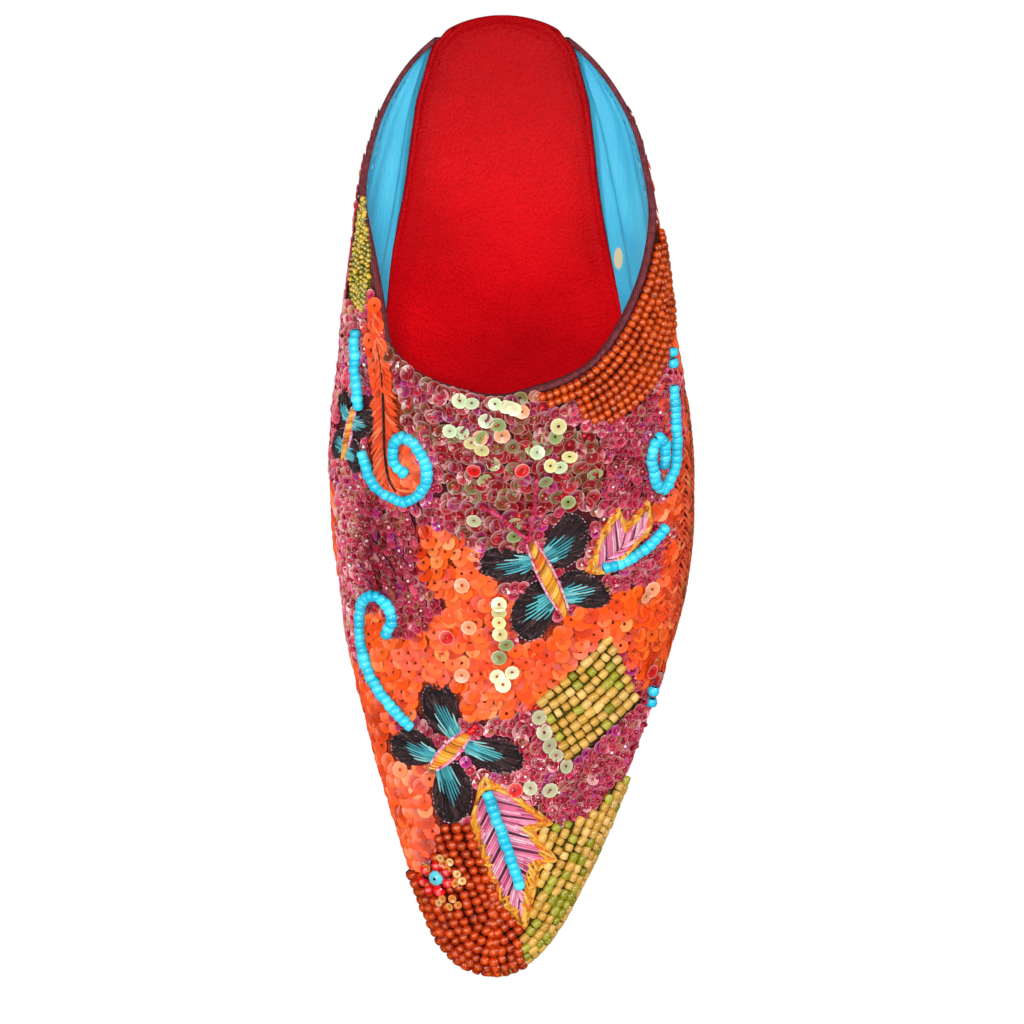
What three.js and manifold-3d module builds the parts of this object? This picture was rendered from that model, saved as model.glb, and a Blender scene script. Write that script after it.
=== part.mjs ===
// A heeled mule for the left foot: a pointed, bead-covered upper on a padded insole,
// a thin leather sole and a small covered heel.
// Millimetres, +Z up, standing on the floor z = 0. The toe points to -Y and the heel to +Y.
// +X is the outer (lateral) side and -X the inner (medial) side of the foot.
import * as THREE from "three";
import { mergeVertices } from "three/addons/utils/BufferGeometryUtils.js";
import Module from "manifold-3d";

const wasm = await Module();
wasm.setup();

// Driving dimensions
const MIDDLE = 122.15; // heel back to the middle of the plan, where Y is 0
const TIP = 243.8; // heel back to the bare tip of the upper
const THROAT = 98; // heel back to the front of the foot opening
const QUARTER_END = 8; // heel back to where the low sides of the upper stop
const WALL = 1.8; // upper: lining leather, cloth and stitched ground
const GAP = 0.3; // clearance between pieces that meet
const SOLE_THICKNESS = 3.5;
const SOLE_BEVEL = 1.2;
const INSOLE_AT_HEEL = 4.6; // padded footbed thickness
const INSOLE_AT_TOE = 2.6;
const INSOLE_TOE_END = 226; // heel back to the front of the footbed
const INSOLE_ROLL = 3.4; // how far the footbed's edge rolls under
const INSOLE_DISH = 0.9; // how far its middle lies below its edge
const INSOLE_OVER_FEATHER = 1.6; // how far its edge reaches over the upper's seam line
const BILGE = 0.3; // how low the side wall turns upright: 0 at the seam, 1 at the widest point
const CROWN_POWER = 1.08; // 1 gives an elliptical crown, more gives a sharper ridge
const BINDING_LEG = 2.6; // how far the bound edge reaches down the wall
const BINDING_TAPE = 0.6;
const BEAD_RELIEF = 2.1; // rows of small glass beads
const THREAD_RELIEF = 1.3; // satin-stitched motifs
const TOP_PIECE_HEIGHT = 5;

// Sections of the last. Columns, in millimetres from the heel back (at) and from the plan's middle:
// sideM, sideL: the widest points, medial and lateral. footM, footL: the seam line on the sole.
// ridge: the middle of the crown. sole: height of the seam line. wide: height of the widest
// points above it. crown: height of the crown above the floor, also where the opening cuts it away.
const LAST_COLUMNS = ["at", "sideM", "sideL", "footM", "footL", "ridge", "sole", "wide", "crown"];
const LAST = [
  [0, -2.4, -2.4, -2.4, -2.4, -2.4, 51.0, 0.5, 56.0],
  [7, -21.3, 16.2, -19.0, 14.3, -2.4, 50.6, 3.8, 60.0],
  [18, -30.4, 26.1, -21.2, 16.4, -2.4, 49.7, 10.0, 65.0],
  [30, -35.6, 32.2, -23.0, 18.0, -2.4, 48.1, 15.5, 69.5],
  [45, -38.9, 35.8, -25.0, 19.6, -2.5, 45.0, 21.0, 73.5],
  [60, -40.5, 37.9, -27.2, 21.4, -2.8, 39.8, 24.5, 77.5],
  [75, -42.3, 40.0, -29.2, 24.2, -3.3, 33.0, 26.0, 80.3],
  [90, -43.5, 42.5, -31.2, 27.2, -3.8, 25.2, 26.0, 80.4],
  [104, -45.2, 44.7, -32.6, 30.0, -4.0, 18.0, 25.0, 74.4],
  [116, -45.8, 45.6, -33.6, 32.2, -4.0, 12.4, 23.0, 67.6],
  [128, -45.2, 45.6, -34.6, 34.4, -4.0, 7.6, 21.0, 60.8],
  [148, -42.9, 43.5, -35.4, 36.2, -4.1, 3.7, 17.0, 49.4],
  [165, -40.2, 39.2, -34.6, 34.0, -4.2, 3.6, 14.4, 41.2],
  [182, -36.1, 33.0, -31.8, 29.0, -4.2, 4.1, 11.8, 35.4],
  [202, -30.6, 25.4, -27.2, 22.2, -4.2, 5.8, 8.9, 29.8],
  [214, -26.9, 20.2, -24.0, 17.4, -4.3, 7.3, 7.2, 26.8],
  [226, -21.9, 14.3, -19.4, 11.9, -4.4, 9.1, 5.4, 23.6],
  [238.8, -15.4, 5.6, -13.6, 3.9, -4.8, 11.6, 2.4, 18.6],
  [TIP, -4.9, -4.9, -4.9, -4.9, -4.9, 12.7, 0, 12.7],
];

// Where the opening cuts the sections: share of the way from the widest point (0) to the crown (1).
const COLLAR_COLUMNS = ["at", "medial", "lateral"];
const COLLAR = [
  [QUARTER_END, 0, 0],
  [30, 0, 0],
  [38, 0.03, 0],
  [46, 0.125, 0.05],
  [56, 0.26, 0.18],
  [66, 0.36, 0.31],
  [76, 0.43, 0.44],
  [84, 0.475, 0.55],
  [89.3, 0.57, 0.64],
  [93.4, 0.69, 0.75],
  [96.1, 0.82, 0.865],
  [THROAT, 1, 1],
];

// Heel block, from the floor up. Columns: up, share of the way from the top piece to the seat;
// back, breast: heel back to its rear and front; half: half its width.
const HEEL_COLUMNS = ["up", "back", "breast", "half"];
const HEEL = [
  [0, 13, 33, 9.6],
  [0.25, 12.4, 33.4, 9.8],
  [0.5, 10.4, 35, 11.4],
  [0.75, 6.2, 38.4, 14.8],
  [0.92, 2.6, 42.4, 18.2],
  [1, 1.2, 44, 19.4],
];

const colours = {
  upper: 0xb0405f,
  lining: 0x4ec3e8,
  insole: 0xd01320,
  heel: 0xc01020,
  sole: 0xb98a5a,
  rubber: 0x2a2422,
  binding: 0x6b2f3a,
  brownBead: 0xa8380a,
  tanBead: 0xd0a24a,
  turquoiseBead: 0x1fc3e6,
  wing: 0x2c1c20,
  pinkThread: 0xe890b0,
};

// Interpolation that never overshoots its rows. Both ends of the shoe are round in plan,
// so rows are spaced by the angle that a circle over the whole length would give them.
function stationAngle(at) {
  return Math.acos(THREE.MathUtils.clamp(1 - (2 * at) / TIP, -1, 1));
}

function smoothColumn(xs, ys) {
  const last = xs.length - 1;
  const steps = xs.slice(1).map((x, i) => x - xs[i]);
  const slopes = steps.map((step, i) => (ys[i + 1] - ys[i]) / step);
  const tangents = xs.map((_, i) => {
    if (i === 0) return slopes[0];
    if (i === last) return slopes[last - 1];
    if (slopes[i - 1] * slopes[i] <= 0) return 0;
    const before = 2 * steps[i] + steps[i - 1];
    const after = steps[i] + 2 * steps[i - 1];
    return (before + after) / (before / slopes[i - 1] + after / slopes[i]);
  });
  return (x) => {
    let i = 0;
    while (i < last - 1 && x > xs[i + 1]) i += 1;
    const t = THREE.MathUtils.clamp((x - xs[i]) / steps[i], 0, 1);
    const rise = steps[i] * t * (1 - t);
    const blend = t * t * (3 - 2 * t);
    return ys[i] + (ys[i + 1] - ys[i]) * blend + rise * (tangents[i] * (1 - t) - tangents[i + 1] * t);
  };
}

function tableOf(rows, names, spacing) {
  const xs = rows.map((row) => spacing(row[0]));
  const columns = {};
  names.slice(1).forEach((name, c) => {
    const column = smoothColumn(xs, rows.map((row) => row[c + 1]));
    columns[name] = (at) => column(spacing(at));
  });
  return columns;
}

const last = tableOf(LAST, LAST_COLUMNS, stationAngle);
const collar = tableOf(COLLAR, COLLAR_COLUMNS, (at) => -Math.sqrt(Math.max(THROAT - at, 0)));
const heelShape = tableOf(HEEL, HEEL_COLUMNS, (up) => up);

// Plan: stations count from the heel back, and Y from the middle of the plan.
const toY = (at) => MIDDLE - at;

// A point of the upper's outside. The rise v is 0 at the seam line, 1 at the widest point
// and 2 at the crown. The wall is a parabola up to the widest point, and a quarter ellipse above.
function sidePoint(side, at, v) {
  const seamX = last[side === "medial" ? "footM" : "footL"](at);
  const wideX = last[side === "medial" ? "sideM" : "sideL"](at);
  const seamZ = last.sole(at);
  const wideZ = seamZ + last.wide(at);
  if (v <= 1) {
    const turnZ = seamZ + BILGE * (wideZ - seamZ);
    const start = (1 - v) * (1 - v);
    const turn = 2 * v * (1 - v);
    return new THREE.Vector3(
      start * seamX + (1 - start) * wideX,
      toY(at),
      start * seamZ + turn * turnZ + v * v * wideZ,
    );
  }
  const angle = ((v - 1) * Math.PI) / 2;
  const ridgeX = last.ridge(at);
  const across = Math.pow(Math.max(Math.cos(angle), 0), CROWN_POWER);
  return new THREE.Vector3(
    ridgeX + (wideX - ridgeX) * across,
    toY(at),
    wideZ + (last.crown(at) - wideZ) * Math.sin(angle),
  );
}

// The outward normal, from two short steps over the surface.
function sideNormal(side, at, v) {
  const stepAt = 0.4;
  const stepV = 0.02;
  const here = THREE.MathUtils.clamp(at, stepAt, TIP - 2 * stepAt);
  const low = Math.max(v - stepV, 0);
  const high = Math.min(v + stepV, 2);
  const along = sidePoint(side, here + stepAt, v).sub(sidePoint(side, here - stepAt, v));
  const up = sidePoint(side, here, high).sub(sidePoint(side, here, low));
  const normal = up.cross(along).normalize();
  return side === "medial" ? normal.negate() : normal;
}

const TIP_NORMAL = new THREE.Vector3(0, -1, 0);

// The two halves of the crown share one normal, so that their edges stay together.
function surfaceNormal(side, at, v) {
  if (at > TIP - 0.01) return TIP_NORMAL;
  if (v < 2) return sideNormal(side, at, v);
  return sideNormal("medial", at, v).add(sideNormal("lateral", at, v)).normalize();
}

function offsetPoint(side, at, v, offset) {
  return sidePoint(side, at, v).addScaledVector(surfaceNormal(side, at, v), offset);
}

function collarRise(side, at) {
  return at >= THROAT ? 2 : 1 + collar[side](at);
}

// Closed solids are built as loose triangles, and their shared corners are then merged.
class Facets {
  constructor() {
    this.corners = [];
  }

  triangle(a, b, c) {
    this.corners.push(a, b, c);
  }

  quad(a, b, c, d) {
    this.triangle(a, b, c);
    this.triangle(a, c, d);
  }

  geometry() {
    const values = this.corners.flatMap((p) => [p.x, p.y, p.z]);
    const loose = new THREE.BufferGeometry();
    loose.setAttribute("position", new THREE.Float32BufferAttribute(values, 3));
    const merged = mergeVertices(loose, 1e-3);
    const source = merged.index.array;
    const kept = [];
    for (let i = 0; i < source.length; i += 3) {
      const [a, b, c] = source.subarray(i, i + 3);
      if (a !== b && b !== c && a !== c) kept.push(a, b, c);
    }
    merged.setIndex(kept);
    return merged;
  }
}

function manifoldOf(geometry) {
  const plain = new THREE.BufferGeometry();
  plain.setAttribute("position", geometry.getAttribute("position"));
  plain.setIndex(geometry.index);
  const merged = mergeVertices(plain, 1e-3);
  const vertProperties = new Float32Array(merged.attributes.position.array);
  const triVerts = new Uint32Array(merged.index.array);
  return new wasm.Manifold(new wasm.Mesh({ numProp: 3, vertProperties, triVerts }));
}

function geometryOf(solid) {
  const { vertProperties, triVerts } = solid.getMesh();
  const geometry = new THREE.BufferGeometry();
  geometry.setAttribute("position", new THREE.BufferAttribute(vertProperties, 3));
  geometry.setIndex(new THREE.BufferAttribute(triVerts, 1));
  return geometry;
}

// Rows of the upper: even in angle over the vamp, then closing up on the round front of the throat.
const VAMP_ROWS = 19;
const QUARTER_ROWS = 18;
const QUARTER_CLOSING = 1.7; // 1 spaces the rows evenly, 2 closes them up most at the throat
const RISE_STEPS = 13;

function stationRows() {
  const throatAngle = stationAngle(THROAT);
  const rows = [];
  for (let i = 0; i <= VAMP_ROWS; i += 1) {
    const angle = Math.PI + ((throatAngle - Math.PI) * i) / VAMP_ROWS;
    rows.push((TIP / 2) * (1 - Math.cos(angle)));
  }
  for (let i = 1; i <= QUARTER_ROWS; i += 1) {
    rows.push(THROAT - (THROAT - QUARTER_END) * (i / QUARTER_ROWS) ** QUARTER_CLOSING);
  }
  return rows;
}

const ROWS = stationRows();

// The wall between two distances from the upper's outside, as one closed solid with the
// opening left free and the underside open.
function wallSolid(inner, outer) {
  const facets = new Facets();
  for (const side of ["medial", "lateral"]) {
    const skin = (offset) =>
      ROWS.map((at) => {
        const top = collarRise(side, at);
        return Array.from({ length: RISE_STEPS + 1 }, (_, j) => {
          return offsetPoint(side, at, (top * j) / RISE_STEPS, offset);
        });
      });
    const outside = skin(outer);
    const inside = skin(inner);
    const turned = side === "lateral";
    const face = (a, b, c, d) => (turned ? facets.quad(a, b, c, d) : facets.quad(d, c, b, a));
    const end = ROWS.length - 1;
    for (let i = 0; i < end; i += 1) {
      for (let j = 0; j < RISE_STEPS; j += 1) {
        face(outside[i][j], outside[i + 1][j], outside[i + 1][j + 1], outside[i][j + 1]);
        face(inside[i][j], inside[i][j + 1], inside[i + 1][j + 1], inside[i + 1][j]);
      }
      face(outside[i][0], inside[i][0], inside[i + 1][0], outside[i + 1][0]);
      if (i >= VAMP_ROWS) {
        const j = RISE_STEPS;
        face(outside[i][j], outside[i + 1][j], inside[i + 1][j], inside[i][j]);
      }
    }
    for (let j = 0; j < RISE_STEPS; j += 1) {
      face(outside[end][j], inside[end][j], inside[end][j + 1], outside[end][j + 1]);
    }
  }
  return facets.geometry();
}

// A skin through closed rings of equal length, with a fan over each end.
function loft(rings) {
  const facets = new Facets();
  const count = rings[0].length;
  for (let i = 0; i < rings.length - 1; i += 1) {
    for (let j = 0; j < count; j += 1) {
      const next = (j + 1) % count;
      facets.quad(rings[i][j], rings[i][next], rings[i + 1][next], rings[i + 1][j]);
    }
  }
  const middle = (ring) => ring.reduce((sum, p) => sum.add(p), new THREE.Vector3()).divideScalar(count);
  const first = rings[0];
  const final = rings[rings.length - 1];
  for (let j = 0; j < count; j += 1) {
    const next = (j + 1) % count;
    facets.triangle(middle(first), first[next], first[j]);
    facets.triangle(middle(final), final[j], final[next]);
  }
  return facets.geometry();
}

function evenAngles(from, to, steps) {
  const first = stationAngle(from);
  const span = stationAngle(to) - first;
  return Array.from({ length: steps + 1 }, (_, i) => (TIP / 2) * (1 - Math.cos(first + (span * i) / steps)));
}

function makeUpper() {
  return wallSolid(-WALL, 0);
}

// The outsole follows the seam line, flat where the ball of the foot stands on the floor.
function soleTop(at) {
  return last.sole(at) - GAP;
}

function soleUnder(at) {
  return Math.max(soleTop(at) - SOLE_THICKNESS, 0);
}

function makeOutsole() {
  const rings = evenAngles(0.6, TIP - 0.6, 44).map((at) => {
    const left = last.footM(at);
    const right = last.footL(at);
    const bevel = Math.min(SOLE_BEVEL, (right - left) / 4);
    const top = soleTop(at);
    const under = soleUnder(at);
    const y = toY(at);
    const edge = under + bevel;
    return [
      new THREE.Vector3(left, y, top),
      new THREE.Vector3(left, y, edge),
      new THREE.Vector3(left + bevel, y, under),
      new THREE.Vector3(right - bevel, y, under),
      new THREE.Vector3(right, y, edge),
      new THREE.Vector3(right, y, top),
    ];
  });
  return loft(rings);
}

// The padded footbed: a dished top, and edges that roll under on to the lining.
function insoleThickness(at) {
  return THREE.MathUtils.lerp(INSOLE_AT_HEEL, INSOLE_AT_TOE, THREE.MathUtils.smoothstep(at, 60, 200));
}

// How far out a footbed edge may reach at a height, clear of the wall's inside.
function clearOfWall(side, at, z, x) {
  if (at < QUARTER_END - 1) return x;
  const tape = BINDING_TAPE * (1 - THREE.MathUtils.smoothstep(at, 18, 30));
  const inside = (v) => offsetPoint(side, at, v, -(WALL + tape + 4.6 * GAP));
  const nearer = (a, b) => (side === "medial" ? Math.max(a, b) : Math.min(a, b));
  const steps = 14;
  let below = inside(0);
  if (z <= below.z) return nearer(x, below.x);
  for (let i = 1; i <= steps; i += 1) {
    const above = inside(i / steps);
    if (above.z >= z) {
      const share = (z - below.z) / (above.z - below.z);
      return nearer(x, THREE.MathUtils.lerp(below.x, above.x, share));
    }
    below = above;
  }
  return x;
}

function makeInsole() {
  const acrossSteps = 8;
  const rollSteps = 3;
  const narrowing = (at) => Math.sqrt(1 - Math.min(1, (at / INSOLE_TOE_END) ** 8));
  const rings = evenAngles(0.5, INSOLE_TOE_END - 0.4, 34).map((at) => {
    const y = toY(at);
    const middle = (last.footM(at) + last.footL(at)) / 2;
    const half = ((last.footL(at) - last.footM(at)) / 2 + INSOLE_OVER_FEATHER) * narrowing(at);
    const bottom = last.sole(at) + GAP;
    const top = bottom + insoleThickness(at);
    const roll = Math.min(INSOLE_ROLL, half / 2);
    const edge = (side, sign) =>
      Array.from({ length: rollSteps + 1 }, (_, i) => {
        const turn = (i / rollSteps) * (Math.PI / 2);
        const z = top - (top - bottom) * Math.cos(turn);
        const x = middle + sign * (half - roll + roll * Math.sin(turn));
        return new THREE.Vector3(clearOfWall(side, at, z, x), y, z);
      });
    const lateral = edge("lateral", 1);
    const medial = edge("medial", -1);
    const across = Array.from({ length: acrossSteps - 1 }, (_, i) => {
      const share = (i + 1) / acrossSteps;
      const dish = INSOLE_DISH * 4 * share * (1 - share) * Math.min(1, half / 16);
      return new THREE.Vector3().lerpVectors(lateral[rollSteps], medial[rollSteps], share).setZ(top - dish);
    });
    return [...lateral, ...across, ...medial.reverse()];
  });
  return loft(rings);
}

// One level of the heel: round at the back, with a shallow hollow in the breast.
const HEEL_BACK_STEPS = 12;
const HEEL_BREAST_STEPS = 4;
const HEEL_BREAST_HOLLOW = 1.6;

function heelRing(up, heightAt) {
  const back = heelShape.back(up);
  const breast = heelShape.breast(up);
  const half = heelShape.half(up);
  const middle = (last.footM(24) + last.footL(24)) / 2;
  const ring = [];
  const corner = (x, at) => ring.push(new THREE.Vector3(middle + x, toY(at), heightAt(at)));
  const round = Math.min(half, breast - back);
  for (let i = 0; i <= HEEL_BACK_STEPS; i += 1) {
    const angle = (i / HEEL_BACK_STEPS) * Math.PI;
    corner(half * Math.cos(angle), back + round - round * Math.sin(angle));
  }
  for (let i = 0; i <= HEEL_BREAST_STEPS; i += 1) {
    const share = (2 * i) / HEEL_BREAST_STEPS - 1;
    corner(half * share, breast - HEEL_BREAST_HOLLOW * (1 - share * share));
  }
  return ring;
}

function makeHeel() {
  const foot = TOP_PIECE_HEIGHT + GAP;
  const levels = 9;
  const rings = Array.from({ length: levels + 1 }, (_, i) => {
    const up = i / levels;
    return heelRing(up, (at) => THREE.MathUtils.lerp(foot, soleUnder(at) - GAP, up));
  });
  return loft(rings);
}

function makeTopPiece() {
  return loft([heelRing(0, () => 0), heelRing(0, () => TOP_PIECE_HEIGHT)]);
}

// The edge tape: a U folded over the rim of the opening, from one heel end round the throat to the other.
function collarPath() {
  const quarter = ROWS.slice(VAMP_ROWS).filter((at) => at > QUARTER_END + 3);
  const medial = quarter.slice(1).reverse().map((at) => ["medial", at]);
  return [...medial, ...quarter.map((at) => ["lateral", at])];
}

// The point reached by sliding over the surface in a few short steps, lifted off it by an offset.
function slidePoint(side, at, v, move, offset) {
  const steps = 5;
  const stepAt = 0.3;
  const stepV = 0.01;
  const step = move.clone().divideScalar(steps);
  let [nowAt, nowV] = [at, v];
  for (let i = 0; i < steps; i += 1) {
    const low = nowV - stepV;
    const high = Math.min(nowV + stepV, 2);
    const alongAt = sidePoint(side, nowAt + stepAt, nowV).sub(sidePoint(side, nowAt - stepAt, nowV));
    const perAt = alongAt.divideScalar(2 * stepAt);
    const perV = sidePoint(side, nowAt, high).sub(sidePoint(side, nowAt, low)).divideScalar(high - low);
    const a = perAt.dot(perAt);
    const b = perAt.dot(perV);
    const c = perV.dot(perV);
    const d = a * c - b * b;
    nowAt += (c * step.dot(perAt) - b * step.dot(perV)) / d;
    nowV = Math.min(nowV + (a * step.dot(perV) - b * step.dot(perAt)) / d, 2);
  }
  return offsetPoint(side, nowAt, nowV, offset);
}

function makeBinding() {
  const path = collarPath().map(([side, at]) => {
    const rise = collarRise(side, at);
    return { side, at, rise, point: sidePoint(side, at, rise), normal: surfaceNormal(side, at, rise) };
  });
  const rings = path.map(({ side, at, rise, point, normal }, i) => {
    const before = path[Math.max(i - 1, 0)].point;
    const after = path[Math.min(i + 1, path.length - 1)].point;
    const outOfRim = normal.clone().cross(after.clone().sub(before)).normalize();
    const low = 1 - THREE.MathUtils.smoothstep(at, QUARTER_END, 30);
    const reach = 1 - 0.7 * low;
    const clear = (2 + low) * GAP;
    const outside = BINDING_TAPE + clear;
    const inside = -WALL - BINDING_TAPE - clear;
    const down = outOfRim.clone().multiplyScalar(-BINDING_LEG * reach);
    const leg = (lift) => slidePoint(side, at, rise, down, lift);
    const rim = (out, lift) => point.clone().addScaledVector(outOfRim, out).addScaledVector(normal, lift);
    return [
      leg(clear),
      rim(GAP, clear),
      rim(GAP, -WALL - clear),
      leg(-WALL - clear),
      leg(inside),
      rim(outside, inside),
      rim(outside, outside),
      leg(outside),
    ];
  });
  return loft(rings);
}

// Raised motifs are cut from the layer just over the upper's outside by a plan outline.
const layers = new Map();

function layerOver(relief) {
  if (!layers.has(relief)) layers.set(relief, manifoldOf(wallSolid(GAP, relief)));
  return layers.get(relief);
}

function outlinePrism(outline, floor) {
  const shape = new THREE.Shape(outline.map(([x, at]) => new THREE.Vector2(x, toY(at))));
  const prism = new THREE.ExtrudeGeometry(shape, { depth: 120, bevelEnabled: false, steps: 1 });
  prism.deleteAttribute("normal");
  prism.deleteAttribute("uv");
  return manifoldOf(mergeVertices(prism.translate(0, 0, floor), 1e-3));
}

// The floor keeps the cut above the part of the wall that turns under.
function raisedMotif(outlines, relief, floor = -20) {
  const prisms = outlines.map((outline) => outlinePrism(outline, floor));
  return geometryOf(layerOver(relief).intersect(wasm.Manifold.union(prisms)));
}

// A long narrow body between two plan points, as a six-cornered outline.
function bodyOutline([x0, at0], [x1, at1], half) {
  const along = new THREE.Vector2(x1 - x0, at1 - at0).normalize();
  const corner = (x, at, back, out) => [
    x + along.x * back - along.y * out,
    at + along.y * back + along.x * out,
  ];
  return [
    corner(x0, at0, 0, 0),
    corner(x0, at0, half, half),
    corner(x1, at1, -half, half),
    corner(x1, at1, 0, 0),
    corner(x1, at1, -half, -half),
    corner(x0, at0, half, -half),
  ];
}

// Plan outlines of the raised work, each point across from the middle line and on from the heel back.
const toePatch = [
  [-18.9, 208.2],
  [-20.6, 218],
  [-19.4, 228],
  [-14, 236.2],
  [-5, 240.4],
  [1.6, 238.6],
  [1, 234],
  [-5, 226.8],
  [-8.4, 217.2],
  [-10.6, 210.2],
  [-11.6, 207.4],
];
const sidePatch = [
  [28.2, 195.2],
  [18.7, 205.3],
  [11.6, 207.6],
  [6.4, 208.9],
  [12.3, 216.5],
  [7.6, 218.4],
  [4.6, 233.8],
  [4.2, 240.2],
  [20, 243],
  [40, 215],
  [36, 196],
];
const kitePatch = [
  [24.1, 159],
  [31.9, 175.1],
  [14.3, 190.5],
  [7.3, 174.3],
];
const throatBand = [
  [7.5, 102],
  [16, 98.6],
  [24.4, 92.6],
  [30.8, 84],
  [34.9, 73.8],
  [38, 65.4],
  [39.6, 72],
  [38.8, 81],
  [36.2, 91.4],
  [32.3, 99.3],
  [27, 103],
  [22, 104.8],
  [14, 104],
];
const butterflyMiddle = [
  bodyOutline([4.6, 133.9], [13.7, 153.3], 1.7),
  [
    [7.4, 139.8],
    [9.7, 137.2],
    [10.2, 131.8],
    [13.3, 128.3],
    [16.6, 127.9],
    [19.1, 130.6],
    [19.1, 135.2],
    [16.6, 139.3],
    [12.8, 141.3],
  ],
  [
    [9.9, 145.2],
    [12.8, 143.4],
    [16.1, 142.1],
    [21.5, 144],
    [24.8, 147.5],
    [24.8, 150],
    [22, 151.4],
    [17.4, 150.8],
    [13.3, 148],
  ],
  [
    [8.6, 142.4],
    [4.6, 142.1],
    [0.5, 137.2],
    [-4.9, 136.2],
    [-8.2, 138.6],
    [-7.8, 142.1],
    [-4.1, 144],
    [1.9, 144.6],
    [5.4, 144],
  ],
  [
    [9.4, 144.1],
    [6.3, 144.6],
    [2.6, 147.5],
    [-0.1, 152.1],
    [0.3, 156.8],
    [3.3, 159.7],
    [6.7, 159.5],
    [9.3, 156.2],
    [10.2, 151.4],
  ],
];
const butterflyFront = [
  bodyOutline([-10.9, 183], [-20.2, 192.5], 1.7),
  [
    [-14.5, 186.7],
    [-18.9, 183],
    [-22.3, 179.1],
    [-23, 174.3],
    [-21, 171.3],
    [-15.6, 172.7],
    [-14.2, 176.4],
    [-14.8, 181.1],
  ],
  [
    [-16.8, 189],
    [-20.2, 185.9],
    [-24.3, 182.8],
    [-28.9, 183],
    [-31, 185.9],
    [-30.3, 189.2],
    [-27, 191.9],
    [-23, 191.2],
    [-20.2, 189.2],
  ],
  [
    [-14.5, 186.7],
    [-10.9, 186.5],
    [-5.4, 185.1],
    [0, 185.9],
    [2.6, 188.4],
    [2.6, 191.9],
    [-1.4, 193.9],
    [-6.8, 192.5],
    [-11.5, 189.9],
  ],
  [
    [-15.5, 187.7],
    [-14.8, 191.2],
    [-18.2, 193.3],
    [-20.2, 197.9],
    [-19.6, 203.3],
    [-17.7, 206],
    [-14.2, 206.6],
    [-11.9, 204.7],
    [-10.8, 199.2],
    [-11.5, 193.3],
  ],
];
const toeLeaf = [
  [-7.4, 196],
  [0, 199.4],
  [9.6, 206.4],
  [4.6, 208.4],
  [11.3, 216.1],
  [6.7, 217.3],
  [3.3, 233.4],
  [-4.1, 226.2],
  [-7.4, 216.8],
  [-9.5, 210],
  [-10, 205.3],
];
const sideLeaf = [
  [19.6, 141.8],
  [23, 132.4],
  [27.1, 126.2],
  [28.9, 131.3],
  [34.9, 124.5],
  [35.2, 131.2],
  [28, 138.4],
];

const parts = [
  ["upper", makeUpper, colours.upper],
  ["outsole", makeOutsole, colours.sole],
  ["insole", makeInsole, colours.insole],
  ["heel", makeHeel, colours.heel],
  ["heel_top_piece", makeTopPiece, colours.rubber],
  ["topline_binding", makeBinding, colours.binding],
  ["toe_bead_patch", () => raisedMotif([toePatch], BEAD_RELIEF, 13.6), colours.brownBead],
  ["side_bead_patch", () => raisedMotif([sidePatch], BEAD_RELIEF), colours.tanBead],
  ["kite_bead_patch", () => raisedMotif([kitePatch], BEAD_RELIEF, 16), colours.tanBead],
  ["throat_bead_band", () => raisedMotif([throatBand], BEAD_RELIEF, 62), colours.brownBead],
  ["butterfly_middle", () => raisedMotif(butterflyMiddle, THREAD_RELIEF), colours.wing],
  ["butterfly_front", () => raisedMotif(butterflyFront, THREAD_RELIEF), colours.wing],
  ["leaf_toe", () => raisedMotif([toeLeaf], THREAD_RELIEF), colours.pinkThread],
  ["leaf_side", () => raisedMotif([sideLeaf], THREAD_RELIEF, 30), colours.pinkThread],
];

const shoe = new THREE.Group();
for (const [name, make, colour] of parts) {
  const material = new THREE.MeshStandardMaterial({ color: colour, roughness: 0.6, metalness: 0 });
  const mesh = new THREE.Mesh(make(), material);
  mesh.name = name;
  shoe.add(mesh);
}

export default shoe;
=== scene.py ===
import math

import bpy
import numpy as np
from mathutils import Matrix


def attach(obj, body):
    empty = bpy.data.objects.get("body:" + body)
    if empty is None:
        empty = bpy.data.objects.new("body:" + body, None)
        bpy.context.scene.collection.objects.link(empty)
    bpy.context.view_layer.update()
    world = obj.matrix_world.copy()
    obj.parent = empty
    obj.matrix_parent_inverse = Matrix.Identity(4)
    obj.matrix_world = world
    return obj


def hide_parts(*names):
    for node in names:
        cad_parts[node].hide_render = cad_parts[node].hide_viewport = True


joined = np.concatenate
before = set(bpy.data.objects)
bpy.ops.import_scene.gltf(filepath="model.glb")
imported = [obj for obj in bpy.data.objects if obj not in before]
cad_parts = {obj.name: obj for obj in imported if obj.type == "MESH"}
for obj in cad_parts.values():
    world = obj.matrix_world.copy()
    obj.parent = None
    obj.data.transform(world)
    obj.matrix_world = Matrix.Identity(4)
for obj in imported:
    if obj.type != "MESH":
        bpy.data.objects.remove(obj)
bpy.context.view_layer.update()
rng = np.random.default_rng(9675)
print("frame loaded")

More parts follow.
